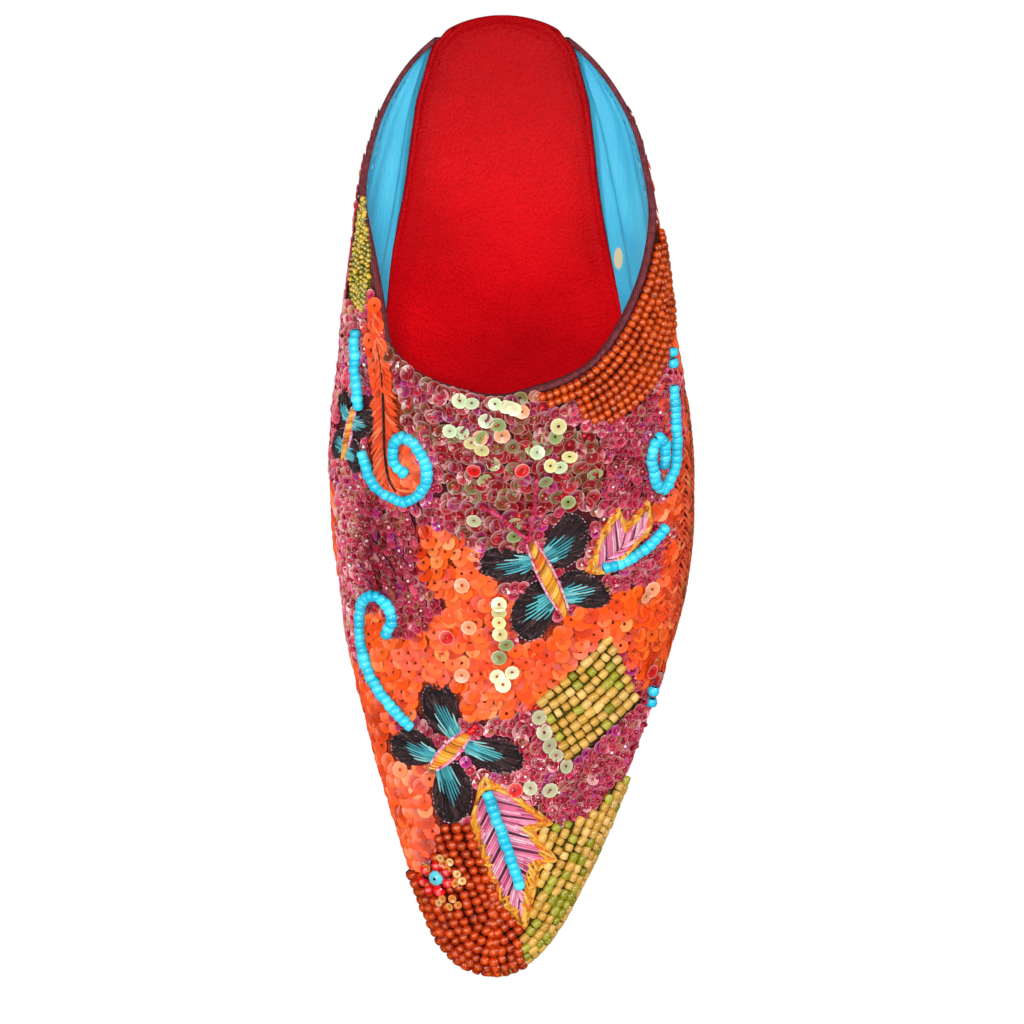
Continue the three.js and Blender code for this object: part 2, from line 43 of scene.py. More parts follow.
# The last, in millimetres: the same tables as the solids, so every piece follows the upper.
tip = 243.8  # heel back to the bare tip
throat = 98.0  # heel back to the front of the foot opening
quarterEnd = 8.0  # heel back to the end of the low sides
middle = 122.15  # heel back to the middle of the plan
wallThickness = 1.8
wallAtHeel = 1.1
wallEnd = 5.6  # the drawn wall runs on a little, in under the insole's rolled edge
bilge = 0.3
crownPower = 1.08
lastColumns = ("at", "sideM", "sideL", "footM", "footL", "ridge", "sole", "wide", "crown")
lastRows = np.array([
    (0, -2.4, -2.4, -2.4, -2.4, -2.4, 51.0, 0.5, 56.0),
    (7, -21.3, 16.2, -19.0, 14.3, -2.4, 50.6, 3.8, 60.0),
    (18, -30.4, 26.1, -21.2, 16.4, -2.4, 49.7, 10.0, 65.0),
    (30, -35.6, 32.2, -23.0, 18.0, -2.4, 48.1, 15.5, 69.5),
    (45, -38.9, 35.8, -25.0, 19.6, -2.5, 45.0, 21.0, 73.5),
    (60, -40.5, 37.9, -27.2, 21.4, -2.8, 39.8, 24.5, 77.5),
    (75, -42.3, 40.0, -29.2, 24.2, -3.3, 33.0, 26.0, 80.3),
    (90, -43.5, 42.5, -31.2, 27.2, -3.8, 25.2, 26.0, 80.4),
    (104, -45.2, 44.7, -32.6, 30.0, -4.0, 18.0, 25.0, 74.4),
    (116, -45.8, 45.6, -33.6, 32.2, -4.0, 12.4, 23.0, 67.6),
    (128, -45.2, 45.6, -34.6, 34.4, -4.0, 7.6, 21.0, 60.8),
    (148, -42.9, 43.5, -35.4, 36.2, -4.1, 3.7, 17.0, 49.4),
    (165, -40.2, 39.2, -34.6, 34.0, -4.2, 3.6, 14.4, 41.2),
    (182, -36.1, 33.0, -31.8, 29.0, -4.2, 4.1, 11.8, 35.4),
    (202, -30.6, 25.4, -27.2, 22.2, -4.2, 5.8, 8.9, 29.8),
    (214, -26.9, 20.2, -24.0, 17.4, -4.3, 7.3, 7.2, 26.8),
    (226, -21.9, 14.3, -19.4, 11.9, -4.4, 9.1, 5.4, 23.6),
    (238.8, -15.4, 5.6, -13.6, 3.9, -4.8, 11.6, 2.4, 18.6),
    (tip, -4.9, -4.9, -4.9, -4.9, -4.9, 12.7, 0.0, 12.7),
])
collarRows = np.array([
    (quarterEnd, 0, 0), (30, 0, 0), (38, 0.03, 0), (46, 0.125, 0.05), (56, 0.26, 0.18),
    (66, 0.36, 0.31), (76, 0.43, 0.44), (84, 0.475, 0.55), (89.3, 0.57, 0.64),
    (93.4, 0.69, 0.75), (96.1, 0.82, 0.865), (throat, 1, 1),
])


# A curve through the rows that never overshoots them: cubic pieces with harmonic mean slopes.
def smoothColumn(xs, ys):
    steps = np.diff(xs)
    slopes = np.diff(ys) / steps
    before = 2 * steps[1:] + steps[:-1]
    after = steps[1:] + 2 * steps[:-1]
    sameWay = slopes[:-1] * slopes[1:] > 0
    lower = np.where(sameWay, slopes[:-1], 1)
    upper = np.where(sameWay, slopes[1:], 1)
    inner = np.where(sameWay, (before + after) / (before / lower + after / upper), 0)
    tangents = joined([slopes[:1], inner, slopes[-1:]])

    def read(x):
        i = np.clip(np.searchsorted(xs, x) - 1, 0, len(steps) - 1)
        t = np.clip((x - xs[i]) / steps[i], 0, 1)
        bend = steps[i] * t * (1 - t) * (tangents[i] * (1 - t) - tangents[i + 1] * t)
        return ys[i] + (ys[i + 1] - ys[i]) * t * t * (3 - 2 * t) + bend

    return read


# Stations are read by an angle, so that rows crowd together at the heel and at the tip.
def stationAngle(at):
    return np.arccos(np.clip(1 - 2 * np.asarray(at, float) / tip, -1, 1))


def stationAt(angle):
    return tip / 2 * (1 - np.cos(angle))


# The opening's edge is read by the root of the distance to its front, where it turns sharply.
def throatReach(at):
    return -np.sqrt(np.maximum(throat - np.asarray(at, float), 0))


last = {n: smoothColumn(stationAngle(lastRows[:, 0]), lastRows[:, i]) for i, n in enumerate(lastColumns)}
collar = [smoothColumn(throatReach(collarRows[:, 0]), collarRows[:, i]) for i in (1, 2)]


# The upper's outside at a station and a rise: 0 at the seam, 1 at the widest point, 2 at the crown.
# A parabola climbs to the widest point, and a quarter ellipse goes on from there to the crown.
def sidePoint(side, at, v):
    side, at, v = np.broadcast_arrays(side, np.asarray(at, float), np.asarray(v, float))
    angle = stationAngle(at)
    inner = side < 0
    seamX = np.where(inner, last["footM"](angle), last["footL"](angle))
    wideX = np.where(inner, last["sideM"](angle), last["sideL"](angle))
    ridgeX = last["ridge"](angle)
    seamZ = last["sole"](angle)
    wide = last["wide"](angle)
    start = (1 - v) ** 2
    lowX = start * seamX + (1 - start) * wideX
    lowZ = seamZ + wide * (2 * v * (1 - v) * bilge + v * v)
    turn = np.clip(v - 1, 0, 1) * np.pi / 2
    highX = ridgeX + (wideX - ridgeX) * np.maximum(np.cos(turn), 0) ** crownPower
    highZ = seamZ + wide + (last["crown"](angle) - seamZ - wide) * np.sin(turn)
    low = v <= 1
    return np.stack([np.where(low, lowX, highX), middle - at, np.where(low, lowZ, highZ)], -1)


nearAt, nearRise = 0.4, 0.02  # how far apart the surface is read for a normal
slideAt, slideRise = 0.3, 0.01  # and for a slide over it


def unit(a):
    return a / np.maximum(np.linalg.norm(a, axis=-1, keepdims=True), 1e-9)


# Outward normal: the cross product of two short steps over the surface.
def sideNormal(side, at, v):
    here = np.clip(at, nearAt, tip - 2 * nearAt)
    along = sidePoint(side, here + nearAt, v) - sidePoint(side, here - nearAt, v)
    high, low = np.minimum(v + nearRise, 2), np.maximum(v - nearRise, 0)
    rise = sidePoint(side, here, high) - sidePoint(side, here, low)
    return unit(np.cross(rise, along)) * np.asarray(side, float)[..., None]


# On the crown both sides share one normal, and at the tip it looks straight ahead.
def surfaceNormal(side, at, v):
    side, at, v = np.broadcast_arrays(side, np.asarray(at, float), np.asarray(v, float))
    own = sideNormal(side, at, v)
    shared = unit(own + sideNormal(-side, at, v))
    normal = np.where((v >= 1.999)[..., None], shared, own)
    return np.where((at > tip - 0.01)[..., None], np.array([0.0, -1.0, 0.0]), normal)


# A place raised from the surface along its normal.
def onSurface(side, at, v, lift=0.0):
    return sidePoint(side, at, v) + surfaceNormal(side, at, v) * np.asarray(lift, float)[..., None]


# The rise at which the foot opening cuts the wall: the crown from the throat on.
def collarRise(side, at):
    reach = throatReach(at)
    rise = 1 + np.where(np.asarray(side) < 0, collar[0](reach), collar[1](reach))
    return np.where(np.asarray(at) >= throat, 2.0, rise)


# The side and rise over a plan point: the ellipse's own formula turned round.
def fromPlan(x, at):
    angle = stationAngle(at)
    ridgeX = last["ridge"](angle)
    side = np.where(x < ridgeX, -1, 1)
    wideX = np.where(side < 0, last["sideM"](angle), last["sideL"](angle))
    across = np.clip((x - ridgeX) / (wideX - ridgeX), 0, 1)
    return side, 1 + np.arccos(across ** (1 / crownPower)) * 2 / np.pi


# Steps over the surface along a given move, a little at a time.
def slideOver(side, at, v, move, steps=5):
    for _ in range(steps):
        perAt = (sidePoint(side, at + slideAt, v) - sidePoint(side, at - slideAt, v)) / (2 * slideAt)
        high, low = np.minimum(v + slideRise, 2), np.maximum(v - slideRise, 0)
        perV = (sidePoint(side, at, high) - sidePoint(side, at, low)) / (high - low)[..., None]
        a, b, c = (perAt * perAt).sum(-1), (perAt * perV).sum(-1), (perV * perV).sum(-1)
        p, q = (move * perAt).sum(-1) / steps, (move * perV).sum(-1) / steps
        at = at + (c * p - b * q) / (a * c - b * b)
        v = np.clip(v + (a * q - b * p) / (a * c - b * b), 0, 2)
    return at, v


# From 0 to 1 with a level start and end: three squares less two cubes.
def smoothShare(value):
    share = np.clip(value, 0, 1)
    return share * share * (3 - 2 * share)


# The same over a length that begins at a start.
def eased(value, start, over):
    return smoothShare((value - start) / over)


thickFrom, thickOver = 25, 55  # the wall is thin at the heel and thickens over this stretch


def wallAt(at):
    grown = eased(np.asarray(at, float), thickFrom, thickOver)
    return wallAtHeel + (wallThickness - wallAtHeel) * grown


# Plan places are given in the photograph's pixels, this many millimetres each.
pixel = 0.256
pixelMiddle = 300.0
pixelHeel = 16.0


def planOf(places):
    places = np.asarray(places, float)
    return np.stack([(places[..., 0] - pixelMiddle) * pixel, (places[..., 1] - pixelHeel) * pixel], -1)


# Even-odd rule: a place is inside when a line to its right crosses the outline an odd number of times.
# A margin also takes in what lies that near to the outline's edges.
def insidePlan(outline, x, at, margin=0.0):
    corners = planOf(outline)
    following = np.roll(corners, -1, axis=0)
    ax, ay = corners[:, 0], corners[:, 1]
    dx, dy = (following - corners).T
    x, at = np.asarray(x)[..., None], np.asarray(at)[..., None]
    spans = (ay > at) != (ay + dy > at)
    crossing = ax + (at - ay) / np.where(dy == 0, 1e-9, dy) * dx
    within = (np.sum(spans & (x < crossing), axis=-1) % 2) == 1
    if margin <= 0:
        return within
    share = np.clip(((x - ax) * dx + (at - ay) * dy) / (dx * dx + dy * dy), 0, 1)
    return within | (np.hypot(x - ax - share * dx, at - ay - share * dy).min(-1) < margin)


# Length run along a line of points, from its start to each of them.
def runLength(points):
    return joined([[0], np.cumsum(np.linalg.norm(np.diff(points, axis=0), axis=1))])


# Values read off at given lengths along such a line.
def readAlong(where, length, values):
    return np.stack([np.interp(where, length, column) for column in values.T], -1)


# Catmull-Rom pieces between the inner points: a smooth curve that passes through each of them.
def roundPieces(p, perPiece):
    t = np.linspace(0, 1, perPiece, endpoint=False)[None, :, None]
    a, b, c, d = (p[i:len(p) - 3 + i, None] for i in range(4))
    square = 2 * a - 5 * b + 4 * c - d
    cube = 3 * b - a - 3 * c + d
    return 0.5 * (2 * b + (c - a) * t + square * t ** 2 + cube * t ** 3)


# A round route through plan places, dense enough to measure along.
def planRoute(places, perPiece=40):
    p = planOf(places)
    p = joined([2 * p[:1] - p[1:2], p, 2 * p[-1:] - p[-2:-1]])
    return joined([roundPieces(p, perPiece).reshape(-1, 2), p[-2:-1]])


# Even steps round an outline that keeps its corners.
def evenCorners(corners, count):
    p = joined([corners, corners[:1]])
    length = runLength(p)
    return readAlong(np.linspace(0, length[-1], count, endpoint=False), length, p)


# Even steps round an outline whose corners are rounded first.
def evenOutline(corners, count):
    p = roundPieces(joined([corners[-1:], corners, corners[:2]]), 16)
    return evenCorners(p.reshape(-1, 2), count)


# Even places along a curve that lies on the surface, with their tangents and normals.
def evenPlaces(side, at, v, pitch, lift):
    points = onSurface(side, at, v, np.full(len(at), lift))
    length = runLength(points)
    where = np.linspace(0, length[-1], max(int(length[-1] / pitch), 1) + 1)
    origin = readAlong(where, length, points)
    normal = unit(readAlong(where, length, surfaceNormal(side, at, v)))
    return origin, unit(np.gradient(origin, axis=0)), normal


# The surface place from which something raised by a lift is seen over a plan place from above.
def under(plan, lift):
    side, v = fromPlan(plan[..., 0], plan[..., 1])
    shift = surfaceNormal(side, plan[..., 1], v)[..., :2] * np.asarray(lift, float)[..., None]
    at = np.clip(plan[..., 1] + shift[..., 1], 0.5, tip - 0.5)
    side, v = fromPlan(plan[..., 0] - shift[..., 0], at)
    return side, at, v


# Even places along a route that is drawn as it is seen from above.
def routePlaces(places, pitch, lift):
    side, at, v = under(planRoute(places), lift)
    return evenPlaces(side, at, v, pitch, lift)


# An sRGB hex colour made linear.
def hexLinear(text):
    value = np.array([int(text[i:i + 2], 16) for i in (1, 3, 5)]) / 255
    return np.where(value <= 0.04045, value / 12.92, ((value + 0.055) / 1.055) ** 2.4)


def paint(text):
    return (*hexLinear(text), 1.0)


def addToScene(name, data):
    made = bpy.data.objects.new(name, data)
    bpy.context.scene.collection.objects.link(made)
    return made


# Meshes come from whole arrays of points (mm) and faces, with an optional colour and map for each point.
def meshPiece(name, points, faces, material, replaced=(), tint=None, uv=None, smooth=True):
    faces = [np.asarray(f) for f in (faces if isinstance(faces, list) else [faces])]
    corners = joined([f.ravel() for f in faces]).astype(np.int32)
    sizes = joined([np.full(len(f), f.shape[1]) for f in faces])
    starts = joined([[0], np.cumsum(sizes)[:-1]]).astype(np.int32)
    mesh = bpy.data.meshes.new(name)
    mesh.vertices.add(len(points))
    mesh.vertices.foreach_set("co", (np.asarray(points) / 1000).astype(np.float32).ravel())
    mesh.loops.add(len(corners))
    mesh.loops.foreach_set("vertex_index", corners)
    mesh.polygons.add(len(sizes))
    mesh.polygons.foreach_set("loop_start", starts)
    mesh.update(calc_edges=True)
    mesh.polygons.foreach_set("use_smooth", np.full(len(sizes), smooth))
    if tint is not None:
        colour = joined([tint, np.ones((len(tint), 1))], 1).astype(np.float32)
        mesh.color_attributes.new("tint", "FLOAT_COLOR", "POINT").data.foreach_set("color", colour.ravel())
    if uv is not None:
        mesh.uv_layers.new(name="thread").data.foreach_set("uv", uv[corners].astype(np.float32).ravel())
    mesh.materials.append(material)
    piece = addToScene(name, mesh)
    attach(piece, "root")
    if replaced:
        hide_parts(*replaced)
    print(name, len(points), "points", int((sizes - 2).sum()), "triangles")
    return piece


# Quads between neighbours on a grid of points, closed round its columns where asked.
def gridFaces(rows, columns, closed=False):
    i, j = np.meshgrid(np.arange(rows - 1), np.arange(columns if closed else columns - 1), indexing="ij")
    k = (j + 1) % columns
    faces = np.stack([i * columns + j, i * columns + k, (i + 1) * columns + k, (i + 1) * columns + j], -1)
    return faces.reshape(-1, 4)


# A skin through closed rings of equal length, with a flat face over each end, turned over where asked.
def loft(rings, turned=False):
    rows, count = rings.shape[:2]
    ends = np.stack([np.arange(count)[::-1], (rows - 1) * count + np.arange(count)])
    faces = [gridFaces(rows, count, True), ends]
    return rings.reshape(-1, 3), [f[:, ::-1] for f in faces] if turned else faces


# Angles of even steps round a circle.
def turns(count):
    return np.arange(count) / count * 2 * np.pi


# Quads that close a ring of points straight across.
def lidFaces(count):
    fan = np.arange(count // 2 - 1)
    return np.stack([fan, fan + 1, count - 2 - fan, count - 1 - fan], -1)


# One shape repeated: its own axes turn with each place's across, along and up.
def stamp(shape, origin, across, along, up, size):
    points, faces = shape
    size = np.broadcast_to(np.asarray(size, float), (len(origin),))[:, None, None]
    axes = np.stack([across, along, up], 1)
    placed = origin[:, None] + size * np.einsum("pk,nkc->npc", points, axes)
    shift = (np.arange(len(origin)) * len(points))[:, None, None]
    return placed.reshape(-1, 3), (faces[None] + shift).reshape(-1, faces.shape[1])


# Two axes turned in their own plane.
def tilted(along, up, angle):
    c, s = np.cos(angle)[:, None], np.sin(angle)[:, None]
    return along * c + up * s, up * c - along * s


# A colour for each thing: a weighted choice from a palette, a little lighter or darker each time.
def pick(palette, count):
    colours = np.array([hexLinear(c) for c, _ in palette])
    weights = np.array([w for _, w in palette], float)
    chosen = colours[rng.choice(len(palette), count, p=weights / weights.sum())]
    return np.clip(chosen * rng.normal(1, 0.09, (count, 1)), 0, 1)


# Materials: inputs are set to values or linked to other nodes, and one function adds a node with them.
def setInputs(tree, node, inputs):
    for key, value in inputs.items():
        if isinstance(value, bpy.types.NodeSocket):
            tree.links.new(value, node.inputs[key])
        else:
            node.inputs[key].default_value = value


def addNode(tree, kind, inputs=None, **settings):
    made = tree.nodes.new("ShaderNode" + kind)
    for key, value in settings.items():
        setattr(made, key, value)
    setInputs(tree, made, inputs or {})
    return made


def newMaterial(name, inputs):
    material = bpy.data.materials.new(name)
    material.use_nodes = True
    tree = material.node_tree
    shader = tree.nodes["Principled BSDF"]
    setInputs(tree, shader, inputs)
    return material, tree, shader


mixShare, mixFirst, mixSecond, mixResult = 0, 6, 7, 2  # sockets of a node that mixes colours
mixing = {"data_type": "RGBA"}
multiplying = {"data_type": "RGBA", "blend_type": "MULTIPLY"}
cloudScale = 22.0  # dye clouds about 45 mm across


# A colour multiplied by the one that each point carries.
def timesTint(tree, colour):
    tint = addNode(tree, "Attribute", attribute_name="tint").outputs["Color"]
    inputs = {mixShare: 1.0, mixFirst: colour, mixSecond: tint}
    return addNode(tree, "Mix", inputs, **multiplying).outputs[mixResult]


# Grained leather: a cell pattern raises the pebbles, and two cloudy layers vary the dye.
def grainedLeather(name, light, dark, pebble, depth, roughness, stretch=(1, 1, 1), shine=0.4,
                   paintedLightTint=False, mottle=0.0, worn=None):
    inputs = {"Roughness": roughness, "Specular IOR Level": shine, "IOR": 1.5}
    material, tree, shader = newMaterial(name, inputs)
    place = addNode(tree, "TexCoord").outputs["Object"]
    turned = addNode(tree, "Mapping", {"Vector": place, "Scale": stretch}).outputs[0]
    inputs = {"Vector": turned, "Scale": 1000 / pebble, "Randomness": 1.0}
    cells = addNode(tree, "TexVoronoi", inputs).outputs["Distance"]
    inputs = {"Vector": turned, "Scale": 1000 / (pebble * 9), "Detail": 4.0}
    folds = addNode(tree, "TexNoise", inputs).outputs["Fac"]
    height = addNode(tree, "Math", {0: cells, 1: folds}, operation="ADD").outputs[0]
    bump = addNode(tree, "Bump", {"Height": height, "Strength": depth, "Distance": 0.0004}).outputs[0]
    cloud = addNode(tree, "TexNoise", {"Vector": place, "Scale": cloudScale, "Detail": 3.0}).outputs["Fac"]
    share = addNode(tree, "Math", {0: cloud, 1: folds}, operation="MULTIPLY").outputs[0]
    spread = addNode(tree, "MapRange", {"Value": share, "From Min": 0.12, "From Max": 0.42}).outputs[0]
    inputs = {mixShare: spread, mixFirst: paint(dark), mixSecond: paint(light)}
    colour = addNode(tree, "Mix", inputs, **mixing).outputs[mixResult]
    # The tint on each point carries painted light and shade.
    if paintedLightTint:
        colour = timesTint(tree, colour)
    if mottle:  # lighter on the pebbles, darker between them
        inputs = {"Value": cells, "From Max": 0.75, "To Min": 1 + mottle, "To Max": 1 - mottle}
        pebbleTone = addNode(tree, "MapRange", inputs).outputs[0]
        inputs = {mixShare: 1.0, mixFirst: colour, mixSecond: pebbleTone}
        colour = addNode(tree, "Mix", inputs, **multiplying).outputs[mixResult]
    if worn:  # one rubbed spot, round in its own stretched space
        x, y, wide, long, bare = worn
        inputs = {"Vector": place, "Scale": (1000 / wide, 1000 / long, 0),
                  "Location": (-x / wide, -y / long, 0)}
        near = addNode(tree, "Mapping", inputs).outputs[0]
        spot = addNode(tree, "TexGradient", {"Vector": near}, gradient_type="SPHERICAL").outputs["Fac"]
        edge = addNode(tree, "MapRange", {"Value": spot, "From Min": 0.2, "From Max": 0.35}).outputs[0]
        inputs = {mixShare: edge, mixFirst: colour, mixSecond: paint(bare)}
        colour = addNode(tree, "Mix", inputs, **mixing).outputs[mixResult]
    setInputs(tree, shader, {"Base Color": colour, "Normal": bump})
    return material


# Small plastic or glass things whose colour is carried on each point.
def tintedGloss(name, inputs, speckle=0.0):
    material, tree, shader = newMaterial(name, {"IOR": 1.5, **inputs})
    tint = addNode(tree, "Attribute", attribute_name="tint").outputs["Color"]
    setInputs(tree, shader, {"Base Color": tint})
    if speckle:
        place = addNode(tree, "TexCoord").outputs["Object"]
        dust = addNode(tree, "TexNoise", {"Vector": place, "Scale": 900.0, "Detail": 2.0}).outputs["Fac"]
        bump = addNode(tree, "Bump", {"Height": dust, "Strength": speckle, "Distance": 0.0002}).outputs[0]
        setInputs(tree, shader, {"Normal": bump})
    return material


# Twisted cotton: slanting bands across the thread's own map give the ply, with a soft sheen.
def twistedThread(name, roughness):
    material, tree, shader = newMaterial(name, {
        "Roughness": roughness, "Sheen Weight": 0.06, "Sheen Roughness": 0.4, "Specular IOR Level": 0.25})
    tint = addNode(tree, "Attribute", attribute_name="tint").outputs["Color"]
    uv = addNode(tree, "UVMap", uv_map="thread").outputs[0]
    turned = addNode(tree, "Mapping", {"Vector": uv, "Rotation": (0, 0, 0.7)}).outputs[0]
    ply = addNode(tree, "TexWave", {"Vector": turned, "Scale": 1.1, "Distortion": 0.4}).outputs["Fac"]
    bump = addNode(tree, "Bump", {"Height": ply, "Strength": 0.5, "Distance": 0.00015}).outputs[0]
    setInputs(tree, shader, {"Base Color": tint, "Normal": bump})
    return material


# Woven cloth: two crossed wave bands stand for warp and weft, drawn coarse enough to show.
def wovenCloth(name, light, dark, thread, roughness, dyed=False):
    material, tree, shader = newMaterial(name, {"Roughness": roughness, "Specular IOR Level": 0.2})
    place = addNode(tree, "TexCoord").outputs["Object"]
    inputs = {"Vector": place, "Scale": 314 / thread, "Distortion": 1.5, "Detail": 1.0}
    warp, weft = (addNode(tree, "TexWave", inputs, bands_direction=way).outputs["Fac"] for way in ("X", "Y"))
    weave = addNode(tree, "Math", {0: warp, 1: weft}, operation="MAXIMUM").outputs[0]
    fleck = addNode(tree, "TexNoise", {"Vector": place, "Scale": 700.0, "Detail": 3.0}).outputs["Fac"]
    share = addNode(tree, "Math", {0: weave, 1: fleck}, operation="MULTIPLY").outputs[0]
    spread = addNode(tree, "MapRange", {"Value": share, "From Min": 0.2, "From Max": 0.7}).outputs[0]
    inputs = {mixShare: spread, mixFirst: paint(dark), mixSecond: paint(light)}
    colour = addNode(tree, "Mix", inputs, **mixing).outputs[mixResult]
    if dyed:
        colour = timesTint(tree, colour)
    bump = addNode(tree, "Bump", {"Height": weave, "Strength": 0.5, "Distance": 0.0003}).outputs[0]
    setInputs(tree, shader, {"Base Color": colour, "Normal": bump})
    return material


# Embossed calf: a fine even pebble in deep red, times a tint on each point that carries painted light and
# shade.
redLeather = grainedLeather(
    "redCalfLeatherEmbossed", "#CE0812", "#C2060E", pebble=0.6, depth=0.5, roughness=0.38,
    stretch=(1, 0.8, 1), shine=0.05, paintedLightTint=True, mottle=0.12)
# Calf drawn tight over the heel: nearly smooth, with a soft shine.
heelLeather = grainedLeather(
    "redCalfLeatherStretched", "#C00A14", "#B4060F", pebble=0.5, depth=0.12, roughness=0.35)
# Dyed kid: soft lengthways grain, cloudy dye and one rubbed spot.
blueLeather = grainedLeather(
    "blueKidLiningDyed", "#50C0E0", "#32A6D0", pebble=0.8, depth=0.25, roughness=0.5,
    stretch=(1, 0.25, 1), shine=0.3, worn=(27.2, 60.0, 1.5, 3.8, "#DCCFA6"))
# Polished sole leather: warm tan with darker clouds.
soleLeather = grainedLeather(
    "vegetableTannedSolePolished", "#C79A66", "#A5743F", pebble=0.9, depth=0.12, roughness=0.45)
# Moulded rubber: near black and dull.
soleRubber = grainedLeather(
    "hardHeelRubberMoulded", "#2E2826", "#1C1817", pebble=0.7, depth=0.2, roughness=0.7)
# Cotton ground: its weave darkens the dye of each zone between the threads.
groundCloth = wovenCloth("cottonGroundWoven", "#FFFFFF", "#8C8C8C", thread=0.8, roughness=0.85, dyed=True)
# Grosgrain tape: fine dark ribs.
plumTape = wovenCloth("plumGrosgrainTapeWoven", "#90444A", "#4E1A22", thread=0.5, roughness=0.8)
# Punched film: flat opaque discs with a satin gleam.
sequinFilm = tintedGloss("sequinFilmPunched", {"Roughness": 0.36, "Specular IOR Level": 0.28})
# Clear cupped film: glossier, so that each disc catches a small light.
clearSequin = tintedGloss("sequinFilmClearCupped", {"Roughness": 0.22, "Specular IOR Level": 0.6})
# Drawn glass: a clear coat over a deep colour.
glassBead = tintedGloss("glassSeedBeadDrawn", {
    "Roughness": 0.16, "Specular IOR Level": 0.3, "Coat Weight": 0.6, "Coat Roughness": 0.03})
# Tumbled opaque glass: a waxy, faintly speckled skin.
stoneBead = tintedGloss(
    "opaqueGlassBeadTumbled", {"Roughness": 0.26, "Specular IOR Level": 0.6}, speckle=0.15)
# Stranded cotton: matt, with the ply just showing.
cottonThread = twistedThread("strandedCottonTwisted", roughness=0.62)
print("materials made")

# The upper: two leaves, the stitched cloth outside and the blue lining inside.
upperBuild = {"vampRows": 90, "quarterRows": 90, "crowding": 1.7, "riseSteps": 46, "leafShare": 0.47,
              "leafGap": 0.05, "toSole": 0.8, "sewn": 0.01}
# Each lining fold: its place up the wall, its reach above and below, and its height.
foldBuild = {"folds": ((0.27, 0.16, 0.028, 1.25), (0.52, 0.05, 0.09, 0.4),
                       (0.74, 0.06, 0.05, 0.45), (0.9, 0.03, 0.03, 0.25)),
             "wander": 0.035, "wave": 13, "lean": 0.0008, "level": 50, "fadeAhead": 30, "fadeBehind": 12}


# Stations from the tip to the throat by even angles, then to the heel by a power of even shares.
def stationRows():
    b = upperBuild
    vamp = stationAt(np.linspace(np.pi, stationAngle(throat), b["vampRows"] + 1))
    share = np.arange(1, b["quarterRows"] + 1) / b["quarterRows"]
    return joined([vamp, throat - (throat - wallEnd) * share ** b["crowding"]])


# The lining's main folds: each swells slowly on its upper side, drops quickly below, wanders and fades.
def creaseLift(side, at, share):
    b = foldBuild
    fade = smoothShare((throat - at) / b["fadeAhead"]) * eased(at, quarterEnd, b["fadeBehind"])
    lift = 0
    for place, above, below, height in b["folds"]:
        wander = b["wander"] * np.sin(at / b["wave"] + 9 * place + side)
        line = place + wander + b["lean"] * (b["level"] - at)
        away = (share - line) / np.where(share > line, above, below)
        lift = lift + height * np.exp(-away ** 2)
    return lift * fade


# A wall between two offsets of the surface. Its halves meet on the crown, where doubled points are merged.
def sewnShell(name, inner, outer, material, replaced=(), dye=None):
    rows = stationRows()
    steps = np.linspace(0, 1, upperBuild["riseSteps"] + 1)
    skins = []
    dyes = []
    for offset in (outer, inner):
        halves = []
        for side in (-1, 1):
            v = collarRise(side, rows)[:, None] * steps[None]
            at = np.repeat(rows[:, None], len(steps), 1)
            if dye:
                dyes.append(dye(side, at.ravel(), v.ravel()))
            half = onSurface(side, at, v, offset(side, at, np.broadcast_to(steps, at.shape)))
            half[:, 0, 2] -= upperBuild["toSole"]
            halves.append(half)
        skins.append(halves)
    n, m = len(rows), len(steps)
    block = n * m
    points = joined([h.reshape(-1, 3) for pair in skins for h in pair])
    sheet = gridFaces(n, m)
    turned = sheet[:, ::-1]
    faces = [turned, sheet + block, sheet + 2 * block, turned + 3 * block]
    rowsAt = np.arange(n)

    def strip(a, b, flip):
        quads = np.stack([a[:-1], b[:-1], b[1:], a[1:]], -1)
        return quads[:, ::-1] if flip else quads

    rimRows = rowsAt[upperBuild["vampRows"]:]
    for half, flip in ((0, False), (1, True)):
        out, inn = half * block, (2 + half) * block
        faces.append(strip(out + rowsAt * m, inn + rowsAt * m, flip))
        faces.append(strip(out + rimRows * m + m - 1, inn + rimRows * m + m - 1, not flip))
        end = (n - 1) * m + np.arange(m)
        faces.append(strip(out + end, inn + end, flip))
    tint = joined(dyes) if dye else None
    piece = meshPiece(name, points, joined(faces), material, replaced, tint)
    merge = piece.modifiers.new("sew", "WELD")
    merge.merge_threshold = upperBuild["sewn"] / 1000


# The edge tape: a rounded U over the rim, carried from one heel end round the throat to the other.
tapeBuild = {"rows": 120, "crowding": 1.6, "atHeel": 0.3, "grownOver": 40, "profile": [
    (0.06, -1.0), (0.24, -0.95), (0.32, -0.5), (0.28, 0.0), (0.0, 0.24), (-0.9, 0.34), (-1.85, 0.24),
    (-2.02, 0.0), (-2.06, -0.45), (-2.02, -0.8), (-1.82, -0.85), (-1.82, -0.08), (-0.9, 0.04), (0.0, -0.08)]}


# The edge of the foot opening from heel to heel, with its normal and the way out of the wall.
def rimPath(count, start=wallEnd + 0.1):
    share = np.linspace(1, 0, count) ** tapeBuild["crowding"]
    at = throat - (throat - start) * share
    side = joined([np.full(count - 1, -1), np.full(count, 1)])
    station = joined([at[:-1], at[::-1]])
    rise = collarRise(side, station)
    point = sidePoint(side, station, rise)
    normal = surfaceNormal(side, station, rise)
    return side, station, rise, point, normal, unit(np.cross(normal, np.gradient(point, axis=0)))


